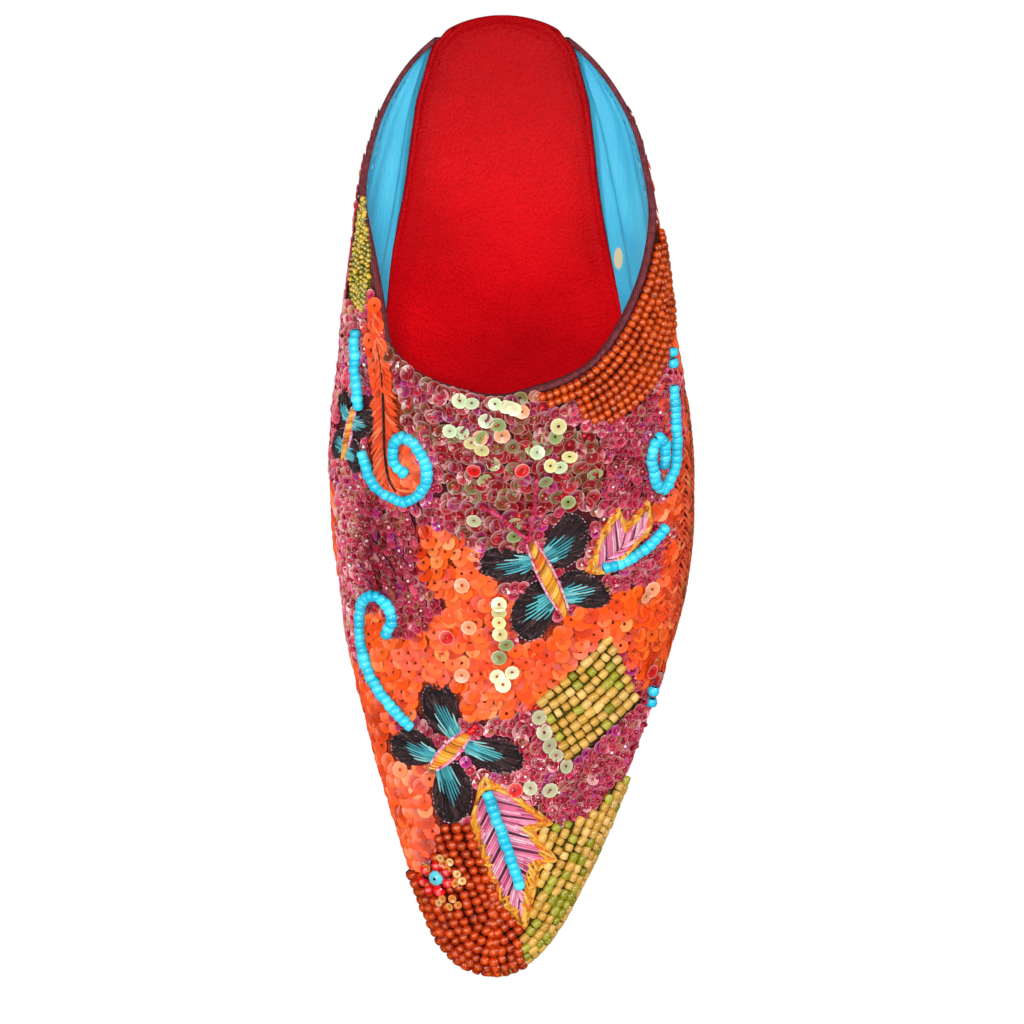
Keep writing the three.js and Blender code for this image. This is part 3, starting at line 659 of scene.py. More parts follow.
def edgeTape():
    b = tapeBuild
    _, at, _, point, normal, out = rimPath(b["rows"])
    over, beside = np.array(b["profile"]).T[:, None]
    fade = (b["atHeel"] + (1 - b["atHeel"]) * eased(at, quarterEnd, b["grownOver"]))[:, None]
    thin = (wallAt(at) / wallThickness)[:, None]
    q = np.where(beside < 0, beside * fade, beside)
    p = over * np.where(over < 0, thin, fade)
    points, faces = loft(point[:, None] + normal[:, None] * p[..., None] + out[:, None] * q[..., None], True)
    meshPiece("toplineTape", points, faces, plumTape, ("topline_binding",))


edgeTape()

# The footbed: a dished top with a pressed line near its edge, and sides that lean out with the wall.
# Each painted-light step, by which the top grows lighter towards the front: its strength, where it starts
# and over what length.
insoleBuild = {
    "rows": 150, "columns": 41, "underColumns": 7, "heelEnd": 0.02, "toeEnd": 226.0, "toeGap": 0.4,
    "seat": 0.3, "atHeel": 4.6, "atToe": 2.6, "thinFrom": 60, "thinOver": 140, "over": 2.7, "overHeel": 22,
    "overWaist": 1.5, "waistFrom": 40, "waistOver": 35, "round": 1.5, "cornerDepth": 0.3, "dish": 1.3,
    "dishHalf": 16, "pressed": 0.6, "pressedIn": 2.5, "pressedWide": 0.75, "toWall": 0.15, "wallRoom": 1.25,
    "heldFrom": 3.5, "heldOver": 4.5, "levels": (0.0, 0.05, 0.14, 0.28, 0.5, 0.75, 1.0), "paintedShadeAtHeel": 0.74,
    "paintedLightSteps": ((0.27, 10, 40), (0.57, 54, 28)), "paintedEdgeShade": (0.15, 5.0)}


# The wall's inside at a height above the sole: the parabola's own formula turned round.
def wallInside(side, at, height):
    angle = stationAngle(at)
    seamX = last["footM" if side < 0 else "footL"](angle)
    wideX = last["sideM" if side < 0 else "sideL"](angle)
    square = 1 - 2 * bilge
    v = (np.sqrt(bilge ** 2 + square * height / np.maximum(last["wide"](angle), 0.5)) - bilge) / square
    x = wideX + (1 - np.clip(v, 0, 1)) ** 2 * (seamX - wideX)
    return x - side * (insoleBuild["wallRoom"] * wallAt(at) + insoleBuild["toWall"])


def footbed():
    b = insoleBuild
    first, final = stationAngle(b["heelEnd"]), stationAngle(b["toeEnd"] - b["toeGap"])
    at = stationAt(np.linspace(first, final, b["rows"]))[:, None]
    angle = stationAngle(at)
    sole = last["sole"](angle)
    bottom = sole + b["seat"]
    thick = b["atHeel"] + (b["atToe"] - b["atHeel"]) * eased(at, b["thinFrom"], b["thinOver"])
    narrow = np.sqrt(1 - np.minimum(1, (at / b["toeEnd"]) ** 8))  # rounds off the toe end
    over = b["over"] * np.clip(at / b["overHeel"], 0.2, 1)
    over = over + b["overWaist"] * eased(at, b["waistFrom"], b["waistOver"])
    down = np.array(b["levels"])
    corner = 1 - np.sqrt(1 - (1 - np.clip(down / b["cornerDepth"], 0, 1)) ** 2)
    z = bottom + thick * (1 - down)
    seam = {-1: last["footM"](angle), 1: last["footL"](angle)}
    centre = (seam[-1] + seam[1]) / 2
    rounding = np.minimum(b["round"], (seam[1] - seam[-1]) / 5)
    held = eased(at, b["heldFrom"], b["heldOver"])  # free at the heel, then kept between the walls
    edges, flats = {}, {}
    for side in (-1, 1):
        top = seam[side] + side * over
        reach = wallInside(side, at, thick + b["seat"])
        top = top + held * (side * np.minimum(side * top, side * reach) - top)
        x = top - side * rounding * corner
        x = x + held * (side * np.minimum(side * x, side * wallInside(side, at, z - sole)) - x)
        edges[side] = centre + (x - centre) * narrow
        flats[side] = centre + (top - side * rounding - centre) * narrow
    u = np.linspace(1, -1, b["columns"])
    half = (flats[1] - flats[-1]) / 2
    topX = (flats[1] + flats[-1]) / 2 + u * half
    outline = joined([joined([edges[s][:, :1], at], 1) for s in (-1, 1)])
    places = np.stack([topX, np.repeat(at, b["columns"], 1)], -1)
    edgeIn = np.linalg.norm(places[:, :, None] - outline, axis=-1).min(-1)
    groove = b["pressed"] * np.exp(-((edgeIn - b["pressedIn"]) / b["pressedWide"]) ** 2)
    dish = b["dish"] * (1 - u ** 2) * np.minimum(1, half / b["dishHalf"])
    share = np.linspace(0, 1, b["underColumns"] + 2)[1:-1]
    below = edges[-1][:, -1:] + (edges[1][:, -1:] - edges[-1][:, -1:]) * share
    x = joined([topX, edges[-1], below, edges[1][:, ::-1]], 1)
    flat = np.repeat(bottom, b["underColumns"], 1)
    z = joined([bottom + thick - dish - groove, z, flat, z[:, ::-1]], 1)
    y = np.repeat(middle - at, x.shape[1], 1)
    points, faces = loft(np.stack([x, y, z], -1), True)
    # Painted light and shade on the top: darker at the heel, lighter towards the front, darker near the
    # edge.
    deep = b["paintedShadeAtHeel"]
    for strength, start, length in b["paintedLightSteps"]:
        deep = deep + strength * eased(at, start, length)
    deep = deep - b["paintedEdgeShade"][0] * np.exp(-(edgeIn / b["paintedEdgeShade"][1]) ** 2)
    dye = joined([deep, np.repeat(deep[:, -1:], x.shape[1] - b["columns"], 1)], 1)
    dye = np.repeat(dye.reshape(-1, 1), 3, 1)
    piece = meshPiece("insolePad", points, faces, redLeather, ("insole",), dye)


footbed()

# The outsole: the seam outline, with a rounded edge above and a bevel below.
soleBuild = {"rows": 160, "heelEnd": 0.3, "toeGap": 0.4, "thickness": 3.5, "gap": 0.3, "round": 0.9,
             "roundSteps": 5, "flatSteps": 9}


# The sole's underside, flat where it meets the floor.
def soleUnder(at):
    return np.maximum(last["sole"](stationAngle(at)) - soleBuild["gap"] - soleBuild["thickness"], 0)


def outsole():
    b = soleBuild
    first, final = stationAngle(b["heelEnd"]), stationAngle(tip - b["toeGap"])
    at = stationAt(np.linspace(first, final, b["rows"]))[:, None]
    angle = stationAngle(at)
    left, right = last["footM"](angle), last["footL"](angle)
    top, low = last["sole"](angle) - b["gap"], soleUnder(at)
    rounding = np.minimum(b["round"], (right - left) / 4)
    turn = np.linspace(0, np.pi / 2, b["roundSteps"])
    inset, rise = rounding * (1 - np.sin(turn)), rounding * (1 - np.cos(turn))
    lower, upper = low + rise, top - 0.5 * rise
    inner = 0.5 * inset
    across = np.linspace(0, 1, b["flatSteps"] + 2)[1:-1]
    x = joined([
        right - inset, right - inner[:, ::-1], right + (left - right) * across,
        left + inner, left + inset[:, ::-1], left + (right - left) * across], 1)
    z = joined([
        lower, upper[:, ::-1], np.repeat(top, b["flatSteps"], 1),
        upper, lower[:, ::-1], np.repeat(low, b["flatSteps"], 1)], 1)
    y = np.repeat(middle - at, x.shape[1], 1)
    points, faces = loft(np.stack([x, y, z], -1), True)
    meshPiece("soleLeatherPiece", points, faces, soleLeather, ("outsole",))


outsole()

# The heel: round behind, hollowed in front, flaring up to the seat.
# Rows: share of the height, back and front stations, half width. Lifts: height and inset of the top piece.
heelBuild = {
    "topPiece": 5.0, "gap": 0.3, "levels": 30, "backSteps": 40, "breastSteps": 16, "hollow": 1.6,
    "seatAt": 24.0, "rows": np.array([
        (0, 13, 33, 9.6), (0.25, 12.4, 33.4, 9.8), (0.5, 10.4, 35, 11.4), (0.75, 6.2, 38.4, 14.8),
        (0.92, 2.6, 42.4, 18.2), (1, 1.2, 44, 19.4)]),
    "lifts": ((0, 0.7), (0.2, 0.25), (0.7, 0), (4.4, 0), (4.85, 0.2), (5.0, 0.6))}
heelShape = [smoothColumn(heelBuild["rows"][:, 0], heelBuild["rows"][:, i]) for i in (1, 2, 3)]


# One level of the heel: a half round behind, and a hollow front between its corners.
def heelRing(up, inset=0.0):
    back, breast, half = (float(column(np.array(up))) for column in heelShape)
    back, breast, half = back + inset, breast - inset, half - inset
    seat = stationAngle(heelBuild["seatAt"])
    centre = float(last["footM"](seat) + last["footL"](seat)) / 2
    turn = np.linspace(0, np.pi, heelBuild["backSteps"] + 1)
    deep = min(half, breast - back)
    share = np.linspace(-1, 1, heelBuild["breastSteps"] + 1)[1:-1]
    x = joined([half * np.cos(turn), half * share])
    at = joined([back + deep - deep * np.sin(turn), breast - heelBuild["hollow"] * (1 - share ** 2)])
    return centre + x, at


def heelPieces():
    b = heelBuild
    foot = b["topPiece"] + b["gap"]
    rings = []
    for up in np.linspace(0, 1, b["levels"] + 1):
        x, at = heelRing(up)
        z = foot + (soleUnder(at) - b["gap"] - foot) * up
        rings.append(np.stack([x, middle - at, z], -1))
    points, faces = loft(np.array(rings))
    meshPiece("heelCover", points, faces, heelLeather, ("heel",))
    rings = []
    for z, inset in b["lifts"]:
        x, at = heelRing(0, inset)
        rings.append(np.stack([x, middle - at, np.full(len(x), z)], -1))
    points, faces = loft(np.array(rings))
    meshPiece("heelTopPiece", points, faces, soleRubber, ("heel_top_piece",))


heelPieces()
print("shoe body built")

# Plan outlines of the work on the upper, in the photograph's pixels.
outlines = {
    "toe": [(226, 827), (219, 868), (211, 880), (209, 905), (224, 935), (248, 962), (281, 978), (316, 964),
        (310, 934), (285, 903), (271, 866), (263, 840), (257, 826)],
    "side": [(410, 778), (373, 818), (345, 826), (324, 831), (348, 861), (330, 868), (316, 926),
        (311, 936), (313, 966), (340, 962), (400, 880), (450, 780)],
    "kite": [(395, 633), (428, 701), (357, 764), (325, 698)],
    "throatRows": [(325, 392), (336, 408), (362, 401), (368, 414), (388, 424), (424, 406), (445, 372),
        (456, 330), (456, 262), (452, 228), (436, 230), (422, 318), (398, 352), (362, 382)],
    "leafToe": [(271, 779), (300, 794), (339, 823), (318, 830), (344, 860), (326, 865), (313, 928),
        (284, 900), (271, 863), (263, 836), (260, 818)],
    "leafSide": [(376, 571), (390, 533), (406, 509), (413, 528), (436, 502), (438, 528), (410, 558),
        (397, 572)],
    "orangeMain": [(209, 518), (232, 527), (256, 540), (263, 556), (266, 575), (285, 583), (299, 592),
        (300, 640), (318, 645), (345, 622), (372, 604), (400, 588), (432, 584), (478, 576), (484, 612),
        (470, 655), (446, 672), (430, 690), (421, 672), (410, 650), (395, 634), (330, 695), (322, 702),
        (296, 714), (280, 722), (258, 722), (246, 716), (244, 700), (238, 688), (222, 683), (208, 690),
        (205, 712), (198, 724), (179, 706), (163, 684), (153, 660), (148, 634), (152, 618), (160, 606),
        (172, 612), (178, 628), (184, 640), (205, 633), (222, 617), (230, 603), (216, 582), (207, 556)],
    "orangeToe": [(140, 640), (150, 668), (163, 690), (179, 712), (190, 730), (178, 742), (181, 756),
        (195, 767), (213, 765), (221, 775), (219, 800), (227, 827), (221, 850), (209, 862), (214, 884),
        (211, 908), (180, 880), (150, 800), (118, 660)],
    "orangeSide": [(466, 372), (500, 400), (500, 590), (450, 590), (446, 560), (462, 530), (438, 512),
        (440, 498), (456, 496), (466, 470), (468, 430)],
    "orangeQuarter": [(424, 165), (462, 165), (474, 240), (490, 372), (462, 372), (456, 350), (452, 300),
        (438, 250), (432, 215)],
    "orangeFeather": [(157, 312), (163, 305), (168, 330), (178, 350), (188, 395), (194, 436), (196, 470),
        (200, 484), (190, 497), (172, 490), (160, 470), (157, 445), (160, 430), (164, 400), (160, 370),
        (156, 340)],
    "orangeCurl": [(186, 442), (198, 446), (210, 462), (211, 486), (198, 498), (186, 494)],
    "orangeEdge": [(104, 462), (126, 480), (131, 560), (138, 640), (150, 668), (120, 672), (100, 560)],
    "goldQuarter": [(150, 196), (154, 208), (162, 262), (160, 296), (148, 316), (136, 296), (137, 240)],
    "sideWings": [(134, 398), (158, 392), (166, 410), (156, 432), (146, 448), (130, 452), (126, 425)],
    "throatMix": [(176, 372), (200, 390), (240, 400), (330, 400), (345, 420), (380, 430), (392, 450),
        (388, 500), (376, 520), (330, 505), (300, 548), (262, 540), (232, 520), (228, 470), (214, 430),
        (190, 410)],
}
turquoiseRoutes = [
    [(150, 455), (163, 486), (192, 502), (213, 487), (213, 463), (202, 445), (188, 437), (181, 450),
        (184, 465), (192, 472)],
    [(462, 389), (464, 424), (464, 460), (453, 489), (444, 481), (440, 455), (447, 438), (453, 447),
        (452, 464)],
    [(175, 634), (179, 623), (177, 608), (164, 596), (150, 602), (147, 628), (152, 660), (163, 686),
        (179, 707), (197, 726)],
    [(143, 334), (143, 368), (146, 406)],
    [(276, 795), (286, 824), (299, 858), (307, 885)],
    [(395, 568), (412, 562), (432, 550), (453, 529)],
    [(460, 352), (461, 363)],
    [(442, 691), (440, 702)],
]
wings = {
    "middle": {"body": [(318, 541), (353, 613)], "wings": [
        [(338, 552), (340, 531), (352, 517), (365, 515), (375, 526), (375, 544), (365, 560), (350, 568)],
        [(350, 576), (363, 571), (384, 578), (397, 592), (397, 602), (386, 608), (368, 605), (352, 594)],
        [(318, 571), (302, 552), (281, 548), (268, 557), (269, 571), (284, 579), (308, 581), (321, 579)],
        [(325, 581), (310, 592), (300, 610), (301, 628), (313, 640), (326, 639), (336, 626), (340, 607),
         (334, 586)]]},
    "front": {"body": [(256, 733), (221, 768)], "wings": [
        [(226, 731), (213, 716), (210, 697), (218, 685), (239, 690), (244, 705), (242, 723)],
        [(221, 742), (205, 730), (187, 731), (179, 742), (181, 755), (195, 765), (210, 763), (221, 755)],
        [(258, 744), (279, 739), (300, 742), (310, 752), (310, 765), (294, 773), (273, 768), (255, 757)],
        [(242, 763), (229, 771), (221, 789), (223, 810), (231, 821), (244, 823), (255, 815), (260, 794),
         (255, 771)]]},
}

flatOrange = ("orangeMain",)
featheredOrange = ("orangeToe", "orangeSide", "orangeQuarter", "orangeFeather", "orangeEdge", "orangeCurl")
# How far the sequins keep clear of each kind of motif.
clearOf = {"leaf": 0.7, "beads": 0.3, "wing": 1.0, "body": 3.3, "string": 1.1, "patch": 0.8}
onTop = 1.02  # the rise from which motifs drawn from above count


def inside(x, at, *names, margin=0.0):
    return np.any([insidePlan(outlines[n], x, at, margin) for n in names], axis=0)


# Places that a motif covers, where no sequins are sewn.
def underMotifs(x, at, v):
    covered = inside(x, at, "leafToe", "leafSide", margin=clearOf["leaf"])
    covered |= inside(x, at, "kite", "throatRows", margin=clearOf["beads"])
    for motif in wings.values():
        covered |= np.any([insidePlan(w, x, at, clearOf["wing"]) for w in motif["wings"]], axis=0)
        covered |= insidePlan(motif["body"] + motif["body"][:1], x, at, clearOf["body"])
    covered |= inside(x, at, "sideWings")
    strings = [insidePlan(r + r[::-1], x, at, clearOf["string"]) for r in turquoiseRoutes]
    covered |= np.any(strings, axis=0)
    return (covered & (v > onTop)) | inside(x, at, "toe", "side", margin=clearOf["patch"])


# Below the widest line the coloured zones lean forward and wander instead of dropping straight down.
def zoneAt(at, v):
    below = 1 - np.minimum(v, 1)
    return at + below * (9 + 8 * np.sin(at / 11) + 4 * np.sin(v * 9 + at / 5))


# The ground cloth takes the colour of what is sewn on it.
groundColours = {"#6A2230": (), "#C8481A": flatOrange + featheredOrange, "#561C06": ("toe", "throatRows"),
                 "#7A6C24": ("side", "kite", "goldQuarter")}


def groundDye(side, at, v):
    x = sidePoint(side, at, np.maximum(v, 1))[:, 0]
    tint = np.zeros((len(at), 3))
    for colour, names in groundColours.items():
        tint[inside(x, zoneAt(at, v), *names) if names else slice(None)] = hexLinear(colour)
    return tint


sewnShell("upperCloth", lambda side, at, share: -upperBuild["leafShare"] * wallAt(at),
          lambda side, at, share: 0 * at, groundCloth, ("upper",), groundDye)
sewnShell("upperLining", lambda side, at, share: -wallAt(at) - creaseLift(side, at, share),
          lambda side, at, share: -upperBuild["leafShare"] * wallAt(at) - upperBuild["leafGap"], blueLeather)
print("upper sewn")

# Where the sequins run: from a start near the heel up to the tape, and nearer to it on the inner side.
fieldBuild = {
    "start": 25.0, "foot": 0.8, "rimGap": 1.7, "rimChange": {-1: -1.5, 1: 1.6}, "rimFrom": {-1: 72, 1: 44},
    "rimOver": 12, "gapInner": 0.3, "gapOuter": 2.8, "jitter": 0.16, "riseJitter": 0.006, "sampled": 160}


def rimClear(side, at):
    b = fieldBuild
    return b["rimGap"] + b["rimChange"][side] * eased(at, b["rimFrom"][side], b["rimOver"])


# Rows of places over the whole upper: even steps of arc length up each section, every other row shifted.
def fieldPlaces(kind):
    b = fieldBuild
    stepAt, stepArc = sequinBuild[kind]["stepAt"], sequinBuild[kind]["stepArc"]
    sides, stations, rises = [], [], []
    grid = np.linspace(0.03, 2, b["sampled"])
    for row, at in enumerate(np.arange(b["start"], tip - 2, stepAt)):
        for side in (-1, 1):
            arc = runLength(sidePoint(side, np.full(b["sampled"], at), grid))
            top = np.interp(collarRise(side, at), grid, arc) - (rimClear(side, at) if at < throat else 0)
            places = np.arange(b["foot"] + (row % 2) * stepArc / 2, top, stepArc)
            sides.append(np.full(len(places), side))
            stations.append(np.full(len(places), at))
            rises.append(np.interp(places, arc, grid))
    side, at, v = (joined(a) for a in (sides, stations, rises))
    at = np.clip(at + rng.normal(0, b["jitter"] * stepAt, len(at)), b["start"] - 1, tip - 1)
    v = np.clip(v * rng.normal(1, b["riseJitter"], len(v)), 0.02, collarRise(side, at))
    x = sidePoint(side, at, np.maximum(v, 1.0))[:, 0]
    toThroat = np.hypot(x + 4, np.maximum(at - throat, 0))
    keep = ~((at > throat) & (toThroat < np.where(x > 4, b["gapOuter"], b["gapInner"])))
    return side[keep], at[keep], v[keep], x[keep]


# A punched sequin: a thin dished washer, with a narrow band near its rim and a sharp edge.
# Sizes are shares of its radius. On the steep walls it lies flatter, and near the heel it is smaller.
# Its hub and back are painted darker as painted shade, and a painted highlight lies on its rim rings on the
# side facing a fixed light way.
discBuild = {
    "sides": 10, "hole": 0.19, "thick": 0.07, "band": 0.83, "bandRise": 0.8, "onWall": 0.62,
    "wallEase": 0.45, "atHeel": 0.72, "growFrom": 40, "growOver": 40, "sizeSpread": 0.04, "tiltLift": 0.45,
    "liftSpread": 0.35, "shadeSpread": 0.07, "hubShade": 0.78, "backShade": 0.68,
    "litFrom": (-0.55, 0.84, 0.0), "litSpread": 0.4, "gleamColour": "#FFE9DC", "ringGleam": {1: 0.4, 2: 1.0}}


def washer(dish):
    b = discBuild
    turn = turns(b["sides"])
    rings = [(b["hole"], 0.0), (b["band"], b["bandRise"] * dish), (1.0, dish), (b["hole"], -b["thick"])]
    points = joined([
        np.stack([r * np.cos(turn), r * np.sin(turn), np.full(b["sides"], z)], -1) for r, z in rings])
    faces = gridFaces(len(rings) + 1, b["sides"], True) % len(points)
    return points, faces[:, ::-1]


# Each kind: size, spacing, dish, film, the rim's colour and share (a painted highlight where pale, painted
# shade where dark), a painted highlight on one side, and a palette.
sequinBuild = {
    "orange": {
        "radius": 2.15, "stepAt": 2.6, "stepArc": 2.4, "gleam": 0.15, "dish": 0.06, "film": sequinFilm,
        "edge": ("#A82804", 0.45), "wave": (0.11, 0.07, 0.4), "tilt": 0.16, "tiltWave": 0.45,
        "tiltSpread": 0.07, "turnWave": 0.6, "turnSpread": 0.35, "flatBelow": 0.15,
        "palette": [("#FF5408", 6), ("#FA6216", 5), ("#EE4406", 4), ("#FF8646", 1.2), ("#D83606", 2)]},
    "coral": {
        "radius": 2.25, "stepAt": 2.7, "stepArc": 1.95, "gleam": 0.25, "dish": 0.1, "film": sequinFilm,
        "edge": ("#C83A12", 0.3), "wave": (0.13, 0.09, 2.2), "tilt": 0.3, "tiltWave": 0.1,
        "tiltSpread": 0.06, "turn": 1.0, "turnWave": 0.5, "turnSpread": 0.15,
        "palette": [("#F6521A", 5), ("#FC682E", 4), ("#E84810", 3.4), ("#FF8A56", 1.3), ("#CE3A0A", 2)]},
    "feather": {
        "radius": 2.1, "gleam": 0.12, "dish": 0.1, "film": sequinFilm, "edge": ("#C83404", 0.3),
        "palette": [("#FF5418", 4), ("#F8602E", 4), ("#FF7448", 2), ("#E23A14", 3)]},
    "plum": {
        "radius": 1.65, "stepAt": 1.95, "stepArc": 1.4, "gleam": 0.5, "dish": 0.24, "film": clearSequin,
        "edge": ("#F2A8B8", 0.4), "wave": (0.09, 0.05, 1.3), "paintedWallLight": 0.18, "tilt": 0.26,
        "tiltInner": 0.16, "tiltWave": 0.14, "tiltSpread": 0.09, "turn": 1.25, "turnWave": 0.5,
        "turnSpread": 0.7, "spreadInner": 0.5, "levelRise": 1.3, "levelOver": 0.14, "seeds": 0.5,
        "seedsInner": 0.7, "paintedGlintSeeds": 0.12,
        "palette": [("#B8243C", 4), ("#C22C50", 3.2), ("#A01C2C", 3), ("#D04C68", 1.7), ("#8E2A28", 2.2),
                    ("#E09A9C", 0.8), ("#B0683E", 1.2), ("#AC2878", 1.3)]},
    "throat": {
        "radius": 2.1, "stepAt": 2.5, "stepArc": 2.3, "gleam": 0.42, "dish": 0.16, "film": clearSequin,
        "edge": ("#E4C8B4", 0.32), "tilt": 0.22, "tiltSpread": 0.1, "seeds": 0.5,
        "palette": [("#860F1A", 5), ("#9C1A26", 4), ("#7A3A22", 2), ("#76683A", 0.9), ("#901E50", 2.0),
                    ("#A9AE74", 0.3)]},
    "small": {
        "radius": 1.05, "gleam": 0.1, "dish": 0.1, "film": clearSequin, "edge": ("#FFF0C0", 0.2),
        "palette": [("#DC8E34", 3), ("#CC7420", 2), ("#E8AA60", 2)]},
    "bright": {"radius": 2.05, "gleam": 0.4, "dish": 0.08, "film": clearSequin, "edge": ("#FFFFF0", 0.3)},
}


# Sequins of one kind at places on the surface, each tilted about its heading, with its own shades of colour
# and with painted light and shade on its rings.
def sequinPiece(name, kind, places, tilt, heading, raised=0.2, tint=None):
    b, d = sequinBuild[kind], discBuild
    side, at, v = places
    count, n = len(at), d["sides"]
    onTopShare = eased(v, 1, d["wallEase"])
    settled = d["onWall"] + (1 - d["onWall"]) * onTopShare
    tilt = tilt * settled
    grown = eased(at, d["growFrom"], d["growOver"])
    radius = b["radius"] * (d["atHeel"] + (1 - d["atHeel"]) * grown)
    normal = surfaceNormal(side, at, v)
    lengthways = unit(np.cross(normal, np.cross(np.array([0, -1.0, 0]), normal)))
    sideways = np.cross(normal, lengthways)
    along = lengthways * np.cos(heading)[:, None] + sideways * np.sin(heading)[:, None]
    along, up = tilted(along, normal, tilt)
    across = np.cross(along, up)
    radius = radius * rng.normal(1, d["sizeSpread"], count)
    leaning = radius * np.abs(np.sin(tilt)) * d["tiltLift"]
    lift = settled * (raised + leaning + rng.uniform(0, d["liftSpread"], count))
    origin = sidePoint(side, at, v) + normal * lift[:, None]
    points, faces = stamp(washer(b["dish"]), origin, across, along, up, radius)
    colour = pick(b["palette"], count) if tint is None else tint
    # Painted light: sequins low on the steep walls are made lighter.
    wall = 1 + b.get("paintedWallLight", 0) * (1 - onTopShare)
    colour = np.clip(colour * wall[:, None] * rng.normal(1, d["shadeSpread"], (count, 1)), 0, 1)
    # The rim ring mixes towards a painted rim colour: painted highlight where pale, painted shade where
    # dark.
    paintedRimColour, paintedRimShare = b["edge"]
    rim = colour * (1 - paintedRimShare) + hexLinear(paintedRimColour) * paintedRimShare
    # Painted shade: the hub and the back are darker.
    hub, back = colour * d["hubShade"], colour * d["backShade"]
    rings = np.repeat(np.stack([hub, colour, rim, back], 1), n, axis=1)
    turn = turns(n)
    # Painted highlight on the rim rings, on the side facing a fixed light way.
    paintedLightWay = np.array(d["litFrom"]) + rng.normal(0, d["litSpread"], (count, 3))
    facing = np.sum(across * paintedLightWay, 1)[:, None] * np.cos(turn) + np.sum(along * paintedLightWay, 1)[:, None] * np.sin(turn)
    shine = (b["gleam"] * np.clip(facing, 0, 1) ** 2)[..., None]
    for ring, share in d["ringGleam"].items():
        here = slice(ring * n, ring * n + n)
        rings[:, here] = rings[:, here] * (1 - share * shine) + hexLinear(d["gleamColour"]) * share * shine
    meshPiece(name, points, faces, b["film"], (), rings.reshape(-1, 3), smooth=False)


# A slow wave over the upper, by which neighbouring sequins lean alike.
def ripple(x, at, a, b, c):
    return np.sin(x * a + at * b + c) * np.cos(x * b * 0.7 - at * a * 0.8 + 2 * c)


# Sequins that stand out by their colour, each at its own place.
brightSequins = {
    "#E6E0B2": [(294, 407), (302, 409), (297, 406), (287, 604), (285, 676), (300, 672), (291, 684)],
    "#C6D3A6": [(248, 401), (260, 403), (283, 404), (274, 421), (238, 431), (250, 433), (325, 452),
                (348, 467)],
    "#DCD08C": [(260, 442), (270, 450), (346, 426), (357, 456), (287, 612), (287, 622), (288, 634),
                (338, 465)],
    "#8C9A5C": [(286, 425), (270, 437), (343, 437), (333, 481), (356, 502), (302, 536), (294, 644),
                (287, 657)],
    "#BAB78E": [(327, 717), (332, 732), (337, 745), (344, 755), (354, 766), (318, 788), (338, 790),
                (262, 520)],
    "#F59A6C": [(290, 436), (310, 412), (250, 585), (257, 627), (250, 675), (434, 596), (440, 589),
                (268, 438)],
    "#D61518": [(235, 637), (303, 790), (262, 470), (310, 470), (445, 682), (441, 672)],
}


def brightSequinPiece():
    places = joined([planOf(p) for p in brightSequins.values()])
    tint = joined([np.repeat(hexLinear(c)[None], len(p), 0) for c, p in brightSequins.items()])
    tilt = rng.normal(0.2, 0.1, len(places))
    heading = rng.uniform(-np.pi, np.pi, len(places))
    sequinPiece("brightSequins", "bright", under(places, 1.4), tilt, heading, 1.3, tint)


# Small beads that hold the sequins down, each turned its own way.
seedBuild = {
    "throat": {"radius": 0.62, "palette": [("#9E0E18", 3), ("#C0182A", 2), ("#8B5A1E", 1)]},
    "plum": {"radius": 0.62, "palette": [("#A01238", 3), ("#C02A50", 2), ("#8A1020", 2)]},
    # Clear seed beads, pale so that they also stand for painted glints.
    "clearGlint": {"radius": 0.42, "palette": [("#F2D8D4", 2), ("#E0A8B4", 2), ("#FFF4EC", 1)]},
}
seedShape = {"sides": 8, "length": 0.8, "rings": ((-0.5, 0.5), (-0.25, 0.95), (0.25, 0.95), (0.5, 0.5))}
seedLift = (0.75, 1.15)


def looseSeeds(kind, keep, side, at, v):
    b = seedBuild[kind]
    side, at, v = side[keep], at[keep], v[keep]
    origin = onSurface(side, at, v, rng.uniform(*seedLift, len(at)))
    normal = surfaceNormal(side, at, v)
    spin = unit(np.cross(normal, rng.normal(size=normal.shape)))
    shape = barrel(**seedShape)
    size = b["radius"] * rng.normal(1, 0.08, len(at))
    points, faces = stamp(shape, origin, np.cross(spin, normal), spin, normal, size)
    colour = np.repeat(pick(b["palette"], len(at)), len(shape[0]), 0)
    meshPiece(kind + "SeedBeads", points, faces, glassBead, (), colour)


# The feather: a middle line with slanting stitches in pairs, and flat sequins at its upper end.
featherBuild = {
    "middle": [(160, 306), (164, 335), (170, 370), (172, 410), (173, 450), (177, 478), (186, 494)],
    "pitch": 0.78, "barb": 3.4, "back": 4.0, "narrow": 0.35, "wideFrom": 8, "wideOver": 30, "quillFrom": 12,
    "sequins": 9, "sequinPitch": 2.6, "rightRow": (0.9, 0), "leftRow": (-1.6, 1.2)}


# Chain stitches on the outer side, in rows of slanting pairs, drawn on the unrolled wall.
weaveBuild = {
    "from": 90.0, "to": 156.0, "low": 0.42, "high": 1.27, "rows": 10, "pitch": 1.6, "stitch": 3.0,
    "spread": 1.5, "wallHeight": 24.0, "coralAbove": 1.1, "shortBehind": 20.0, "shortAhead": 26.0,
    "raggedStart": (0, 4), "raggedEnd": (-4, 3), "jitter": 0.2, "uneven": 0.12, "lift": 0.4, "sunk": 0.15,
    "easeAhead": 9, "easeBehind": 6}


# Lower rows are shorter at both ends, so the patch hangs like a leaf.
def weaveSpan(v):
    b = weaveBuild
    down = np.clip((b["high"] - v) / (b["high"] - b["low"]), 0, 1) ** 2
    return b["from"] + b["shortBehind"] * down, b["to"] - b["shortAhead"] * down


# Places that the chain stitches cover.
def underWeave(side, at, v):
    start, end = weaveSpan(v)
    inRows = (v > weaveBuild["low"]) & (v < weaveBuild["high"] - 0.02)
    return (side > 0) & (at > start + 2) & (at < end) & inRows


